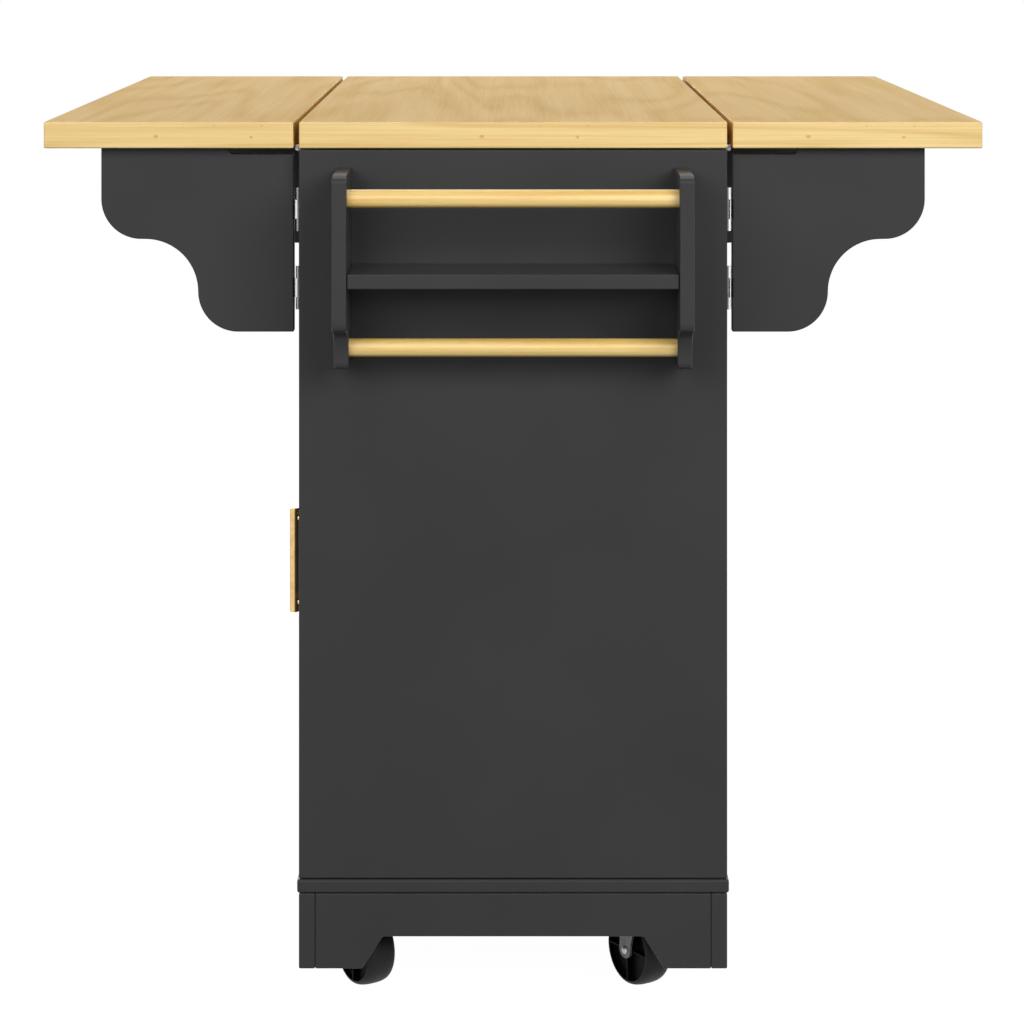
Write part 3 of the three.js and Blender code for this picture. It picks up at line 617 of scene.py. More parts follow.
def add_cabinet_boards():
    for node in PLAIN_BOARDS:
        painted(node, board_form(*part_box(node)))
    for end in ENDS:
        node = f"end_panel_{end}"
        low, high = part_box(node)
        low.z, high.z = low.z + SEAM, high.z - TOP_SEAM
        painted(node, board_form(low, high))
    for side in SIDES:
        node = f"base_board_{side}"
        low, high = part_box(node)
        high.z -= SEAM
        painted(node, board_form(low, high))
    plinth = board_form(*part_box("bottom_board"), BOTTOM_RADIUS, FINE_SEGMENTS)
    painted("bottom_board", plinth, name="plinth_board")
    painted("drawer_front", board_form(*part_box("drawer_front")), "drawer", "drawer_face")
    for end in ENDS:
        add_end_skirt(f"end_skirt_{end}")
        add_door(f"door_{end}")
    add_drawer_box()


def add_drawer_box():
    """Two long sides, a front and a back between them, and a floor, each with its own grain."""
    low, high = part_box("drawer_box")
    wall, floor = DRAWER_WALL, DRAWER_FLOOR
    inner_low, inner_high = low.y + wall, high.y - wall
    sides = [
        rounded_box(low, (high.x, inner_low, high.z), BOX_EDGE),
        rounded_box((low.x, inner_high, low.z), high, BOX_EDGE),
        rounded_box((low.x, inner_low, low.z), (high.x, inner_high, low.z + floor), BOX_EDGE),
    ]
    ends = [
        rounded_box((x, inner_low, low.z + floor), (x + wall, inner_high, high.z), BOX_EDGE)
        for x in (low.x, high.x - wall)
    ]
    tray = merged(finish(merged(*sides)), *ends)
    add_piece(
        "drawer_tray", tray, ["box_end", "box_side"], "drawer", ["drawer_box"]
    )


def add_end_skirt(node):
    """The board under an end of the cabinet, with its flared cut-out."""
    low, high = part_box(node)
    crown, top = low.z + CUTOUT_HEIGHT, high.z - SEAM
    reach = high.x + SKIRT_FULLNESS
    half = [(CUTOUT_TOP / 2, crown), (CUTOUT_BOTTOM / 2, low.z), (reach, low.z), (reach, top)]
    outline = half + [(-x, z) for x, z in reversed(half)]
    board = prism(outline, high.y - low.y, BOARD_RADIUS)
    moved(board, shift(0, (low.y + high.y) / 2, 0) @ TURN_X)
    painted(node, board)


def add_door(node):
    """A door and the two pins that it turns on."""
    low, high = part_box(node)
    z0, z1 = low.z + DOOR_PIN_REACH, high.z - DOOR_PIN_REACH
    panel = board_form((low.x, low.y, z0), (high.x, high.y, z1))
    axis = joints[f"{node}_open"]
    spans = ((low.z, z0 + DOOR_PIN_SEAT), (z1 - DOOR_PIN_SEAT, high.z))
    pins = finish(merged(*(round_bar(DOOR_PIN_RADIUS, *span) for span in spans)))
    form = merged(panel, moved(pins, shift(axis.x, axis.y, 0)))
    add_piece(f"{node}_panel", form, ["black", "steel_pin"], node, [node])


# ---- hinges under the leaves

LEAF_KNUCKLE, PIN_RADIUS, PIN_CLEARANCE = mm(2.6, 1.2, 0.15)
PIN_HEAD, PIN_HEAD_FLAT = mm(1.7, 1.02)
PIN_HEAD_RISE, PIN_HEAD_EDGE = mm(0.5, 0.15)
KNUCKLE_GAP, KNUCKLE_SOFT = mm(0.3, 0.416)
KNUCKLE_SHARE = 0.44  # of the hinge's length that the middle knuckle takes
LEAF_SHEET = mm(1.5)
SHEET_SOFT, TONGUE_SOFT = mm(0.3, 0.2)
TONGUE_LAP = mm(1)
SMALL_SCREW = mm(2.9, 0.45)  # a head's radius and its rise
SCREW_PROUD = mm(0.3)
LEAF_SCREWS, FLAP_SCREWS = (0.25, 0.75), (0.3, 0.8)  # shares of the hinge's width and reach


def knuckle_spans(start, stop):
    """The middle knuckle's limits, and those of the two end knuckles."""
    half = (stop - start) * KNUCKLE_SHARE / 2
    centre = (start + stop) / 2
    ends = [(start, centre - half - KNUCKLE_GAP), (centre + half + KNUCKLE_GAP, stop)]
    return (centre - half, centre + half), ends


def knuckle(low, high, bore=0.0):
    """A rolled knuckle about Z, with softened ends, solid or with a bore."""
    return round_bar(LEAF_KNUCKLE, low, high, KNUCKLE_SOFT, bore)


def pin(low, high):
    """A hinge pin with a small domed head on each end."""
    head, flat, rise, edge = PIN_HEAD, PIN_HEAD_FLAT, PIN_HEAD_RISE, PIN_HEAD_EDGE
    return lathe(
        [(0, low - rise), (flat, low - rise), (head, low - edge), (head, low), (PIN_RADIUS, low),
         (PIN_RADIUS, high), (head, high), (head, high + edge), (flat, high + rise),
         (0, high + rise)],
        SMALL_FACES,
    )


def add_leaf_hinge(side, end):
    """A plate and end knuckles under the slab, a flap and the middle knuckle under the leaf."""
    way = SIDES[side]
    slab_node, flap_node = f"slab_hinge_{side}_{end}", f"leaf_flap_{side}_{end}"
    slab_low, slab_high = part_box(slab_node)
    flap_low, flap_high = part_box(flap_node)
    axis = joints[f"leaf_{side}_lift"]
    y0, y1, top = slab_low.y, slab_high.y, flap_high.z
    middle, outer = knuckle_spans(y0, y1)
    place = shift(axis.x, 0, axis.z) @ BACK_X
    slab_edge = slab_low.x if way > 0 else slab_high.x
    flap_edge = flap_high.x if way > 0 else flap_low.x
    bore = PIN_RADIUS + PIN_CLEARANCE
    clear = LEAF_KNUCKLE + KNUCKLE_GAP

    def sheet(x0, x1, start, stop, soft):
        return rounded_box((x0, start, top - LEAF_SHEET), (x1, stop, top), soft)

    def tongue(way_out, from_axis, start, stop):
        end_x = axis.x + way_out * (clear + TONGUE_LAP)
        return sheet(axis.x + way_out * from_axis, end_x, start, stop, TONGUE_SOFT)

    def screw(x, share):
        spot = (x, y0 + (y1 - y0) * share, top - LEAF_SHEET - SCREW_PROUD)
        return moved(screw_head(*SMALL_SCREW), facing(spot, (0, 0, -1)))

    slab_start, flap_start = axis.x - way * clear, axis.x + way * clear
    slab_forms = [sheet(slab_edge, slab_start, y0, y1, SHEET_SOFT)]
    for span in outer:
        slab_forms += [moved(knuckle(*span), place), tongue(-way, 0, *span)]
    slab_forms.append(moved(pin(y0, y1), place))
    flap_forms = [
        # The flap's sheet is dark steel, painted as the shade under the leaf
        finish(sheet(flap_start, flap_edge, y0, y1, SHEET_SOFT)),
        moved(knuckle(*middle, bore), place),
        tongue(way, bore, *middle),
    ]
    for share in LEAF_SCREWS:
        slab_forms.append(screw((slab_edge + slab_start) / 2, share))
        for reach in FLAP_SCREWS:
            flap_forms.append(screw(flap_start + (flap_edge - flap_start) * reach, share))
    add_piece(
        f"slab_hinge_plate_{side}_{end}", merged(*slab_forms), ["nickel"], "cabinet",
        [slab_node],
    )
    add_piece(
        f"leaf_hinge_flap_{side}_{end}", merged(*flap_forms), ["nickel", "painted_shade_steel"],
        f"leaf_{side}", [flap_node],
    )


# ---- brackets

BRACKET_THICKNESS, BRACKET_LENGTH, BRACKET_EDGE_RADIUS = mm(15, 203.6, 1.4)
EDGE_OFFSET, FACE_OFFSET = mm(3.5, 3.5)  # from the pivot to the board
OGEE_ROUND, OGEE_HOLLOW, FOOT_LENGTH = mm(42.4, 55.5, 58.9)
NOTCH_WIDTH, NOTCH_DEPTH, NOTCH_RADIUS = mm(68.3, 6.9, 4)
NOTCH_STEPS = 8


def ogee_outline(bottom, top):
    """The bracket board from its hinge edge outwards along +X, with Z as the second axis."""
    inner, full, hollow, notch = EDGE_OFFSET, OGEE_ROUND, OGEE_HOLLOW, NOTCH_RADIUS
    tip, foot = inner + BRACKET_LENGTH, inner + FOOT_LENGTH
    waist = bottom + full
    notch_edge, notch_floor = inner + NOTCH_WIDTH, top - NOTCH_DEPTH
    points = [(inner, bottom)]
    points += arc(foot, waist, full, -90, 0)
    points += arc(foot + full + hollow, waist, hollow, 180, 90)[1:]
    points += arc(tip - full, waist + hollow + full, full, -90, 0)[1:]
    points += [(tip, top), (notch_edge, top)]
    points += arc(notch_edge - notch, notch_floor + notch, notch, 0, -90, NOTCH_STEPS)
    points.append((inner, notch_floor))
    return points


def add_bracket(side, end):
    node = f"bracket_{side}_{end}"
    way, face = SIDES[side], ENDS[end]
    low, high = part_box(node)
    pivot = joints[f"{node}_fold"]
    outline = [(way * x, z) for x, z in ogee_outline(low.z, high.z)]
    middle = pivot.y - face * (FACE_OFFSET + BRACKET_THICKNESS / 2)
    board = prism(outline, BRACKET_THICKNESS, BRACKET_EDGE_RADIUS)
    moved(board, shift(pivot.x, middle, 0) @ TURN_X)
    painted(node, board, node, f"bracket_board_{side}_{end}")
    for level in ("upper", "lower"):
        add_bracket_hinge(side, end, level)


BRACKET_KNUCKLE, KNUCKLE_SHEET, HINGE_PLATE = mm(2.2, 0.9, 1.2)
CORE_FACES = 16
PIVOT_DEPTH = mm(1)
SEAT = mm(0.3)
PLATE_START, PLATE_WIDTH = mm(2.8, 24)
PLATE_PROUD, PLATE_SOFT = mm(0.1, 0.25)
STRIP_START, STRIP_STOP, STRIP_SOFT = mm(0.4, 4, 0.15)  # from an end knuckle to the plate
TONGUE_DEPTH, TONGUE_STOP, ARM_REACH = mm(0.9, -1, 4.5)
EDGE_PLATE_START, EDGE_PLATE_INSET = mm(3.5, 0.6)
PANEL_SCREWS = ((0.16, 0.5), (0.5, 0.72), (0.84, 0.5))  # shares of the height and the width
PANEL_SCREW_PROUD = mm(0.25)
# Where the rolled strips start and stop about the pin, in degrees: the end knuckles, the middle one
ROLLS = {"front": ((-90, 110), (10, 300)), "rear": ((-200, 60), (-66, 246))}


def add_bracket_hinge(side, end, level):
    """Both halves of a butt hinge: on the end panel's inner face and on the bracket's edge."""
    node = f"bracket_hinge_{side}_{end}_{level}"
    way, face = SIDES[side], ENDS[end]
    low, high = (corner.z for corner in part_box(node))
    pivot = joints[f"bracket_{side}_{end}_fold"]
    middle, outer = knuckle_spans(low, high)
    # Local X runs towards the cabinet's middle and local Y inwards along the island
    place = shift(pivot.x, pivot.y, 0) @ Matrix.Diagonal((-way, -face, 1, 1))
    ring = BRACKET_KNUCKLE
    inside = ring - KNUCKLE_SHEET
    end_roll, middle_roll = ROLLS[side]

    start = PIVOT_DEPTH + SEAT
    stop = start + HINGE_PLATE
    panel = [
        # The core is dark steel, painted as the shade inside the rolled knuckles
        finish(round_bar(inside, low, high, faces=CORE_FACES)),
        rounded_box((PLATE_START, start, low), (PLATE_WIDTH, stop, high), PLATE_SOFT),
    ]
    for z0, z1 in outer:
        panel.append(rolled_strip(ring, inside, *end_roll, z0, z1))
        panel.append(rounded_box((STRIP_START, start, z0), (STRIP_STOP, stop, z1), STRIP_SOFT))
    for up, along in PANEL_SCREWS:
        spot = (PLATE_WIDTH * along, stop + PANEL_SCREW_PROUD, low + (high - low) * up)
        panel.append(moved(screw_head(*SMALL_SCREW), facing(spot, (0, 1, 0))))
    add_piece(
        f"panel_hinge_half_{side}_{end}_{level}", moved(merged(*panel), place),
        ["nickel", "painted_shade_steel"], "cabinet", [node],
    )

    # The plate is let into the bracket's edge, and a short tongue joins it to the knuckle
    start = -(EDGE_OFFSET + HINGE_PLATE - PLATE_PROUD)
    stop = start + HINGE_PLATE
    depths = (FACE_OFFSET + EDGE_PLATE_START, FACE_OFFSET + BRACKET_THICKNESS - EDGE_PLATE_INSET)
    corner = (start, TONGUE_DEPTH, middle[0])
    tongue = (TONGUE_STOP, TONGUE_DEPTH + HINGE_PLATE, middle[1])
    leaf = [
        rounded_box((start, depths[0], low), (stop, depths[1], high), PLATE_SOFT),
        # The tongue's two parts are dark steel, painted as the shade between the bracket and the
        # panel
        finish(rounded_box(corner, (stop, FACE_OFFSET + ARM_REACH, middle[1]), TONGUE_SOFT)),
        finish(rounded_box(corner, tongue, TONGUE_SOFT)),
        rolled_strip(ring, inside, *middle_roll, *middle),
    ]
    add_piece(
        f"bracket_hinge_half_{side}_{end}_{level}", moved(merged(*leaf), place),
        ["nickel", "painted_shade_steel"], f"bracket_{side}_{end}",
    )


# ---- rack

RACK_EDGE_RADIUS = mm(1.2)
# The facets of a side board's upper front corner: back from the front face, and down from the top
RACK_CROWN = (mm(0, 8), mm(0.9, 5.4), mm(2.8, 2.9), mm(7.2, 0.8), mm(9, 0))
RACK_SMOOTH_ANGLE = math.radians(20)
RACK_NOSE, RACK_HOLLOW, RACK_FOOT = mm(9.5, 32, 8)  # radii of the lower outline's arcs
RACK_STEPS = 10
RACK_FOOT_DEPTH, RACK_STEP = mm(66.5, 43.1)
DOWEL_CLEARANCE, DOWEL_SEAT = mm(0.3, 0.3)
DOWEL_FULLNESS = mm(0.45)  # the turned rail's radius over its faceted solid's
DOWEL_SOFT = mm(0.8)
SHELF_FULLNESS, SHELF_RADIUS = mm(0.9, 1.2)


def rack_outline(depth, bottom, top, panel_gap):
    """A side board: its reach from the end panel, with Z as the second axis."""
    step, nose, hollow, foot = bottom + RACK_STEP, RACK_NOSE, RACK_HOLLOW, RACK_FOOT
    points = [(panel_gap, bottom)]
    points += arc(RACK_FOOT_DEPTH - foot, bottom + foot, foot, -90, 0, RACK_STEPS)
    points += arc(RACK_FOOT_DEPTH + hollow, step - hollow, hollow, 180, 90, RACK_STEPS)
    points += arc(depth - nose, step + nose, nose, -90, 0, RACK_STEPS)
    points += [(depth - back, top - down) for back, down in RACK_CROWN]
    points.append((panel_gap, top))
    return points


def add_rack():
    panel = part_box("end_panel_near")[0].y
    dowels = {name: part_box(f"rack_dowel_{name}") for name in ("upper", "lower")}
    for side in SIDES:
        node = f"rack_side_{side}"
        low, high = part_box(node)
        reaches = rack_outline(panel - low.y, low.z, high.z, panel - high.y)
        outline = [(-reach, z) for reach, z in reaches]
        # Drawn in XY, then stood up with the outline's first axis along Y
        across = (low.x + high.x) / 2
        stand = Matrix(((0, 0, 1, across), (1, 0, 0, panel), (0, 1, 0, 0), (0, 0, 0, 1)))
        board = prism(outline, high.x - low.x, RACK_EDGE_RADIUS, FINE_SEGMENTS, SMOOTH_ANGLE)
        piece = add_piece(
            f"rack_board_{side}", moved(board, stand), ["black"], "cabinet",
            [node], RACK_SMOOTH_ANGLE,
        )
        for box in dowels.values():
            carve(piece, dowel_form(*box, DOWEL_CLEARANCE, DOWEL_SEAT))
    low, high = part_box("rack_shelf")
    high.z += SHELF_FULLNESS
    painted("rack_shelf", board_form(low, high, SHELF_RADIUS))
    for name, box in dowels.items():
        node = f"rack_dowel_{name}"
        add_piece(f"rack_rail_{name}", dowel_form(*box), ["rod"], "cabinet", [node])


def dowel_form(low, high, wider=0.0, longer=0.0):
    """A round rail along X with softened ends, between the ends of its box."""
    radius = (high.z - low.z) / 2 + DOWEL_FULLNESS + wider
    bar = round_bar(radius, low.x - longer, high.x + longer, DOWEL_SOFT, faces=ROUND_FACES)
    return moved(bar, shift(0, (low.y + high.y) / 2, (low.z + high.z) / 2) @ TURN_Y)


# ---- handles

HANDLE_RADIUS, HANDLE_LENGTH, HANDLE_SOFT = mm(5.3, 118.6, 0.9)
HANDLE_POST, HANDLE_SPACING = mm(3.6, 96)
HANDLE_EASE = 0.3  # where the softened end bends, as a share of its size
HANDLE_FACES = 32
DOOR_HANDLE_RISE = mm(1.3)
ROSE_RADIUS, ROSE_RISE = mm(4.6, 1.2)
ROSE_NECK, ROSE_SOFT, ROSE_EDGE = mm(1, 0.6, 0.4)


def handle_form(projection):
    """A bar along Z on two posts that reach +X to the face at X = 0."""
    half, radius, soft = HANDLE_LENGTH / 2, HANDLE_RADIUS, HANDLE_SOFT
    ease = soft * HANDLE_EASE
    reach = projection - radius
    end = [(0, half), (radius - soft, half), (radius - ease, half - ease), (radius, half - soft)]
    bar = lathe([(r, -z) for r, z in end] + end[::-1], HANDLE_FACES)
    forms = [moved(bar, shift(-reach, 0, 0))]
    foot, rose = reach - ROSE_RISE, ROSE_RADIUS
    for way in (-1, 1):
        post = lathe(
            [(0, 0), (HANDLE_POST, 0), (HANDLE_POST, foot - ROSE_NECK), (rose - ROSE_SOFT, foot),
             (rose, foot + ROSE_EDGE), (rose, reach - SEAT), (0, reach - SEAT)],
            SMALL_FACES,
        )
        forms.append(moved(post, shift(-reach, 0, way * HANDLE_SPACING / 2) @ TURN_Y))
    return merged(*forms)


def add_pull(name, node, front, body, turn=Matrix(), rise=0.0):
    """A handle on a front board, turned from upright and raised from its node's middle."""
    low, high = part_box(node)
    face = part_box(front)[0].x
    centre = (low + high) / 2
    pull = moved(handle_form(face - low.x), shift(face, centre.y, centre.z + rise) @ turn)
    add_piece(name, pull, ["brass"], body, [node])


def add_handles():
    for end in ENDS:
        door = f"door_{end}"
        add_pull(f"door_pull_{end}", f"door_handle_{end}", door, door, rise=DOOR_HANDLE_RISE)
    add_pull("drawer_pull", "drawer_handle", "drawer_front", "drawer", TURN_X)


# ---- casters

WHEEL_RADIUS, WHEEL_WIDTH = mm(38.5, 32.6)
FORK_INSIDE = mm(16.8)  # from the wheel's middle to a leg's inner face
TREAD_RISE = mm(5.1)  # from the tread's edge to the middle of its crown
TREAD_FULLNESS = 2.5  # two is an ellipse, and more is squarer
RIM_RADIUS, HUB_RADIUS, WHEEL_LIP = mm(32.8, 9.5, 0.8)
WEB_THICKNESS = mm(20)
WEB_BEND, RIM_BEND = mm(1.6, 0.4)  # how far the web's curve reaches, and how far the rim leans
HUB_LEAN = mm(0.6)
TREAD_STEPS, WHEEL_FACES = 12, 72
RIB_COUNT = 4
RIB_THICKNESS, RIB_SETBACK, RIB_LAP, RIB_SOFT = mm(2, 0.3, 1, 0.5)
AXLE_RADIUS, AXLE_CLEARANCE = mm(4, 0.1)
RIVET_RADIUS, RIVET_HEIGHT, RIVET_STEPS = mm(4.4), mm(2.4), 6
CASTER_TRAIL, CASTER_HEIGHT = mm(21, 103)
PLATE_THICKNESS, PLATE_HALF = mm(2.5, 31)
PLATE_SCREW, PLATE_SCREW_INSET, PLATE_SCREW_PROUD = mm(4.2, 1.2), mm(7), mm(1)
RACE_RADIUS, RACE_HEIGHT, RACE_SOFT, RACE_LAP = mm(21, 3, 0.6, 0.5)
CUP_RADIUS, CUP_HEIGHT, CUP_SOFT = mm(19, 9, 0.6)
CUP_WAIST = 0.45  # the height at which the cup has its full radius, as a share
NECK_RADIUS, NECK_BEND = mm(16, 1)
FORK_SHEET, FORK_BEND = mm(2.5, 5)
TIP_STEPS, LEG_STEPS, BEND_STEPS, LEG_COLUMNS = 14, 6, 6, 6
LEG_TOP_WIDTH, LEG_LEAN = mm(25, 4)
LEG_EASE_LOW, LEG_EASE_HIGH = 1.5, 2  # how late each side of a leg leans, going up
TIP_RADIUS = mm(9.6)
TIP_DROP = mm(8.8)  # axle to the end of the leg
HAIR = mm(0.02)  # keeps the tips' first row open, and is the tolerance for a cut edge's length
CROWN_RADIUS, CROWN_SOFT = mm(22, 0.5)
TREAD, HUB = 0, 1


def wheel_form():
    """A wheel about Y: rounded tread, recessed ribbed web on both faces, and a hub."""
    half, web, lip = WHEEL_WIDTH / 2, WEB_THICKNESS / 2, WHEEL_LIP
    crown = WHEEL_RADIUS - TREAD_RISE
    side = [
        (AXLE_RADIUS + AXLE_CLEARANCE, half), (HUB_RADIUS - lip, half), (HUB_RADIUS, half - lip),
        (HUB_RADIUS + HUB_LEAN, web + lip), (HUB_RADIUS + WEB_BEND, web),
        (RIM_RADIUS - WEB_BEND, web), (RIM_RADIUS - RIM_BEND, web + lip),
        (RIM_RADIUS, half - lip), (RIM_RADIUS + lip / 2, half),
    ]
    for i in range(TREAD_STEPS + 1):
        share = math.cos(math.pi / 2 * i / TREAD_STEPS)
        rise = TREAD_RISE * (1 - share**TREAD_FULLNESS) ** (1 / TREAD_FULLNESS)
        side.append((crown + rise, half * share))
    other = [(radius, -height) for radius, height in reversed(side[:-1])]
    body = lathe(side + other, WHEEL_FACES, closed=True)
    for face in body.faces:
        reach = math.hypot(*face.calc_center_median().xy)
        face.material_index = TREAD if reach > RIM_RADIUS + lip else HUB
    ribs = []
    depth = half - RIB_SETBACK
    for i in range(RIB_COUNT):
        rib = rounded_box(
            (HUB_RADIUS - RIB_LAP, -RIB_THICKNESS / 2, -depth),
            (RIM_RADIUS + RIB_LAP, RIB_THICKNESS / 2, depth), RIB_SOFT, 2,
        )
        turn = math.tau * i / RIB_COUNT - math.pi / 2
        ribs.append(moved(finish(rib, HUB), Matrix.Rotation(turn, 4, "Z")))
    return moved(merged(body, *ribs), TURN_X)


def fork_sheet(yoke_top, axle):
    """The pressed fork: one sheet bent down on both sides of the wheel, its legs round-tipped."""
    leg = FORK_INSIDE + FORK_SHEET / 2
    top = yoke_top - FORK_SHEET / 2
    tip = axle.z - TIP_DROP

    def limits(z):
        """The leg's two X limits at a height, straight to the tip's circle and round below it."""
        if z <= axle.z:
            half = TIP_RADIUS * math.sqrt(max(1 - ((axle.z - z) / TIP_DROP) ** 2, 0))
            return axle.x - half, axle.x + half
        share = (z - axle.z) / (yoke_top - axle.z)
        low = axle.x - TIP_RADIUS
        low += share**LEG_EASE_LOW * (LEG_LEAN - LEG_TOP_WIDTH / 2 - low)
        high = axle.x + TIP_RADIUS
        high += share**LEG_EASE_HIGH * (LEG_LEAN + LEG_TOP_WIDTH / 2 - high)
        return low, high

    path = []
    for i in range(TIP_STEPS + 1):
        drop = TIP_DROP * (1 - math.cos(math.pi / 2 * i / TIP_STEPS))
        path.append((leg, tip + drop + HAIR))
    for i in range(1, LEG_STEPS + 1):
        path.append((leg, axle.z + (top - FORK_BEND - axle.z) * i / LEG_STEPS))
    path += arc(leg - FORK_BEND, top - FORK_BEND, FORK_BEND, 0, 90, BEND_STEPS)[1:]
    path += [(-y, z) for y, z in reversed(path)]

    form = bmesh.new()
    rows = []
    for y, z in path:
        low, high = limits(z)
        across = [low + (high - low) * i / LEG_COLUMNS for i in range(LEG_COLUMNS + 1)]
        rows.append([form.verts.new((x, y, z)) for x in across])
    for one, two in zip(rows, rows[1:]):
        for i in range(LEG_COLUMNS):
            form.faces.new((one[i], one[i + 1], two[i + 1], two[i]))
    thicken(form, FORK_SHEET)
    for face in form.faces:
        if sum(abs(edge.calc_length() - FORK_SHEET) < HAIR for edge in face.edges) == 2:
            # The cut edge takes a lighter zinc, a painted highlight along the sheet's edge
            face.material_index = 1  # the cut edge of the sheet
    return form


def thicken(form, thickness):
    """Gives a sheet its thickness, half to each side."""
    form.normal_update()
    bmesh.ops.recalc_face_normals(form, faces=form.faces)
    for vertex in form.verts:
        vertex.co -= vertex.normal * thickness / 2
    bmesh.ops.solidify(form, geom=form.faces[:], thickness=-thickness)


def fork_form():
    """The swivelling half of a caster about its swivel axis, the wheel trailing to +X."""
    cup_top = CASTER_HEIGHT - PLATE_THICKNESS - RACE_HEIGHT - SEAT
    yoke_top = cup_top - CUP_HEIGHT
    yoke_low = yoke_top - FORK_SHEET
    crown, soft, neck = CROWN_RADIUS, CROWN_SOFT, NECK_RADIUS
    cup = lathe(
        [(0, yoke_low), (crown - soft, yoke_low), (crown, yoke_low + soft),
         (crown, yoke_top - soft), (crown - soft, yoke_top), (neck + NECK_BEND, yoke_top),
         (neck, yoke_top + NECK_BEND), (CUP_RADIUS, yoke_top + CUP_HEIGHT * CUP_WAIST),
         (CUP_RADIUS, cup_top - CUP_SOFT), (CUP_RADIUS - CUP_SOFT, cup_top), (0, cup_top)]
    )
    leg_outside = FORK_INSIDE + FORK_SHEET
    head = []
    for i in range(RIVET_STEPS + 1):
        turn = math.pi / 2 * i / RIVET_STEPS
        height = leg_outside + RIVET_HEIGHT * math.cos(turn)
        head.append((RIVET_RADIUS * math.sin(turn), height))
    head.append((AXLE_RADIUS, leg_outside))
    bolt = lathe(head + [(radius, -height) for radius, height in reversed(head)], SMALL_FACES)
    axle = Vector((CASTER_TRAIL, 0, WHEEL_RADIUS))
    return merged(cup, fork_sheet(yoke_top, axle), moved(finish(bolt), shift(*axle) @ TURN_X))


def caster_plate_form():
    """The fixed plate with its race and four screws, about the swivel axis."""
    half, radius, soft = PLATE_HALF, RACE_RADIUS, RACE_SOFT
    low = CASTER_HEIGHT - PLATE_THICKNESS
    foot, top = low - RACE_HEIGHT, low + RACE_LAP
    plate = rounded_box((-half, -half, low), (half, half, CASTER_HEIGHT - SEAT / 2), soft)
    race = lathe([(0, foot), (radius - soft, foot), (radius, foot + soft), (radius, top), (0, top)])
    reach, z = half - PLATE_SCREW_INSET, low - PLATE_SCREW_PROUD
    corners = [(x, y, z) for x in (-reach, reach) for y in (-reach, reach)]
    heads = [moved(screw_head(*PLATE_SCREW), facing(c, (0, 0, -1))) for c in corners]
    return merged(plate, race, *heads)


def add_caster(name):
    swivel = joints[f"caster_swivel_{name}"]
    trail = joints[f"caster_spin_{name}"] - swivel
    level = shift(swivel.x, swivel.y, 0)
    turned = level @ Matrix.Rotation(math.atan2(trail.y, trail.x), 4, "Z")
    fork, wheel = f"caster_fork_{name}", f"caster_wheel_{name}"
    add_piece(
        f"caster_yoke_{name}", moved(fork_form(), turned), ["zinc", "zinc_edge_highlight"], fork,
        [fork],
    )
    roller = moved(wheel_form(), turned @ shift(CASTER_TRAIL, 0, WHEEL_RADIUS))
    add_piece(f"caster_roller_{name}", roller, ["tread", "hub"], wheel, [wheel])
    plate = moved(caster_plate_form(), level)
    add_piece(f"caster_top_plate_{name}", plate, ["zinc"], "cabinet")


# ---- small fittings

SHELF_PIN_RADIUS, SHELF_PIN_SOFT = mm(2.5, 0.5)
SHELF_PIN_COLLAR = mm(4)
SHELF_PIN_HEIGHTS = mm(-6, 0, 1, 1.2, 8, 8.5)  # its end, the collar's two faces and rim, its nose
SHELF_PIN_INSET = mm(45)


def shelf_pin_form():
    """A spoon-shaped shelf pin that stands out along +Y from Y = 0, its top at Z = 0."""
    radius, collar = SHELF_PIN_RADIUS, SHELF_PIN_COLLAR
    end, face, rim, neck, shoulder, nose = SHELF_PIN_HEIGHTS
    stem = lathe(
        [(0, end), (radius, end), (radius, face), (collar, face), (collar, rim), (radius, neck),
         (radius, shoulder), (radius - SHELF_PIN_SOFT, nose), (0, nose)],
        SMALL_FACES,
    )
    return moved(stem, shift(0, 0, -radius) @ BACK_X)


def add_shelf_pins():
    """Four pins under each shelf, pushed into the boards at its two ends."""
    for shelf in SHELVES:
        low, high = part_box(shelf)
        forms = []
        for x in (low.x + SHELF_PIN_INSET, high.x - SHELF_PIN_INSET):
            for y, turn in ((low.y, 0), (high.y, math.pi)):
                place = shift(x, y, low.z) @ Matrix.Rotation(turn, 4, "Z")
                forms.append(moved(shelf_pin_form(), place))
        add_piece(f"{shelf}_pins", merged(*forms), ["steel_pin"], "cabinet")


# ---- carried-over nodes


def dress_nodes():
    """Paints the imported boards. No piece replaces the apron and the caster rails, so they show."""
    for node in frame["nodes"].values():
        node.data.materials.clear()
        node.data.materials.append(MATERIALS["black"])


# ---- studio

FLOOR_HALF, FLOOR_CELLS = 14.0, 4
FLOOR_GLOW = 1.09
FLOOR_GLOW_SHARE = 0.9
FLOOR_CLOUDS = 3
FLOOR_TONES = ((66, 66, 66), (74, 74, 74))  # what the floor sends back to the object
FLOOR_SEEN_TONE = (235, 235, 235)
SKY_STRENGTH = 0.18


def seen_white(tree):
    """One for the rays that show the background: straight, reflected or refracted."""
    path = add_node(tree, "ShaderNodeLightPath").outputs
    seen = calculate(tree, "MAXIMUM", path["Is Camera Ray"], path["Is Glossy Ray"])
    return calculate(tree, "MAXIMUM", seen, path["Is Transmission Ray"])


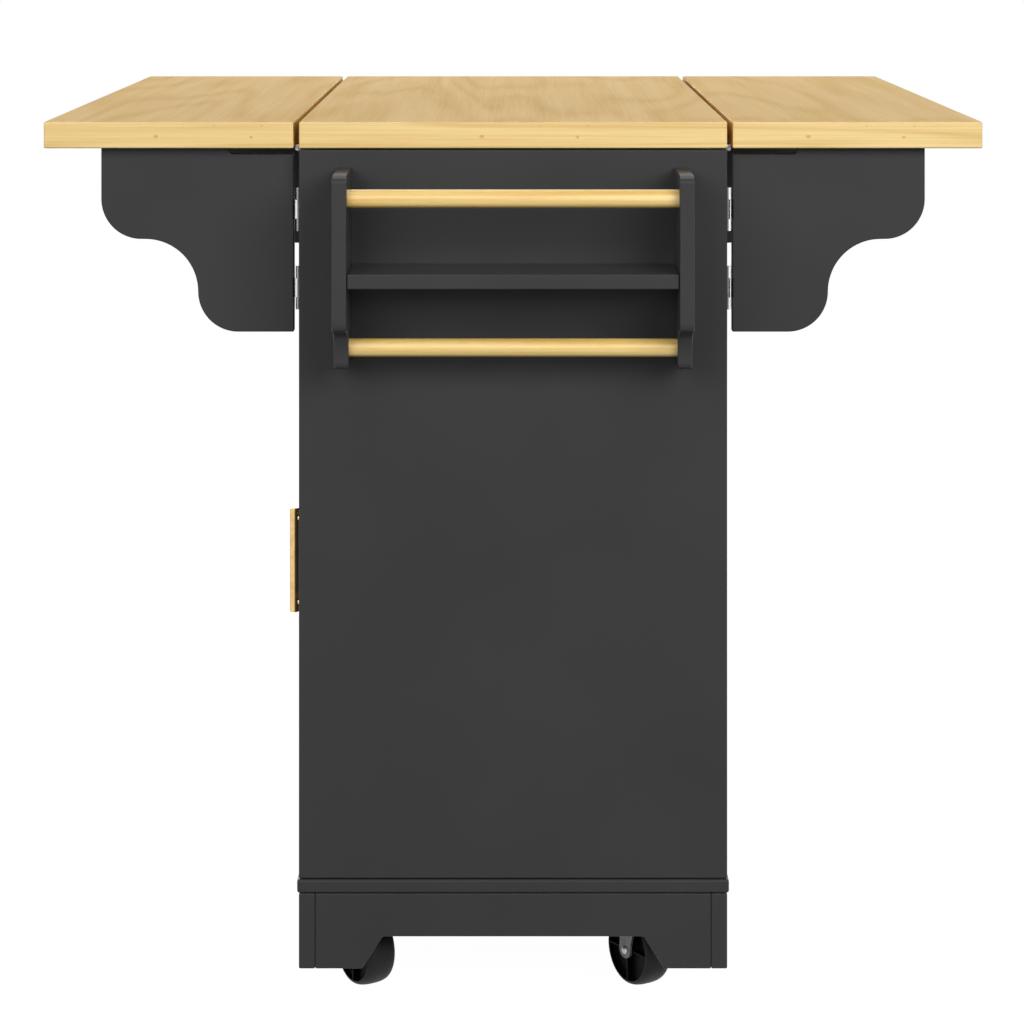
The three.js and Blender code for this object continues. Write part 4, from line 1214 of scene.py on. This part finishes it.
def add_floor():
    material, tree, shader = new_material("studio_floor")
    tree.nodes.remove(shader)
    grain = noise(tree, FLOOR_CLOUDS, detail=2)
    color = ramp(tree, grain, NOISE_SPAN, FLOOR_TONES)
    color = mix(tree, seen_white(tree), color, linear(FLOOR_SEEN_TONE))
    matt = add_node(tree, "ShaderNodeBsdfDiffuse", {"Color": color}).outputs["BSDF"]
    glow = add_node(tree, "ShaderNodeEmission", {"Strength": FLOOR_GLOW}).outputs["Emission"]
    share = calculate(tree, "MULTIPLY", seen_white(tree), FLOOR_GLOW_SHARE)
    blend = add_node(tree, "ShaderNodeMixShader", {"Fac": share, 1: matt, 2: glow})
    feed(tree, tree.nodes["Material Output"].inputs["Surface"], blend.outputs["Shader"])
    form = bmesh.new()
    bmesh.ops.create_grid(form, x_segments=FLOOR_CELLS, y_segments=FLOOR_CELLS, size=FLOOR_HALF)
    mesh = mesh_of(form, "studio_floor")
    mesh.materials.append(material)
    add_object("studio_floor", mesh)


def add_sky():
    world = bpy.data.worlds.new("studio_sky")
    scene.world = world
    world.use_nodes = True
    tree = world.node_tree
    background = tree.nodes["Background"]
    background.inputs["Color"].default_value = (1, 1, 1, 1)
    strength = spread(tree, seen_white(tree), (0, 1), (SKY_STRENGTH, 1))
    feed(tree, background.inputs["Strength"], strength)


LAMPS = (
    # name, place, point aimed at, width, height, power in watts
    ("key", (1.9, -3.6, 2.25), (0, 0, 0.55), 2.2, 1.8, 110),
    ("fill", (-1.6, -3.9, 2.15), (0, 0, 0.55), 2.2, 1.8, 74),
    ("top", (0.3, 3.0, 3.0), (0, 0, 0.9), 2.4, 2.0, 70),
    ("left", (-3.7, 0.4, 1.5), (0, 0, 0.55), 2.2, 1.8, 40),
    ("right", (3.7, 0.6, 1.2), (0, 0, 0.55), 2.2, 1.8, 24),
    ("back", (-0.6, 3.9, 1.6), (0, 0, 0.55), 2.6, 1.8, 60),
)


def add_lamps():
    for name, place, target, width, height, power in LAMPS:
        data = bpy.data.lights.new(name, "AREA")
        data.shape = "RECTANGLE"
        data.size, data.size_y = width, height
        data.energy = power
        lamp = add_object(name, data)
        lamp.location = place
        aim = Vector(target) - Vector(place)
        lamp.rotation_euler = aim.to_track_quat("-Z", "Y").to_euler()


# ---- scene

add_camera()
dress_nodes()
add_cabinet_boards()
add_top()
for corner in CORNERS:
    add_leaf_hinge(*corner)
    add_bracket(*corner)
add_rack()
add_handles()
for corner in CORNERS:
    add_caster("_".join(corner))
add_shelf_pins()
add_floor()
add_sky()
add_lamps()
scene.view_settings.view_transform = "Standard"
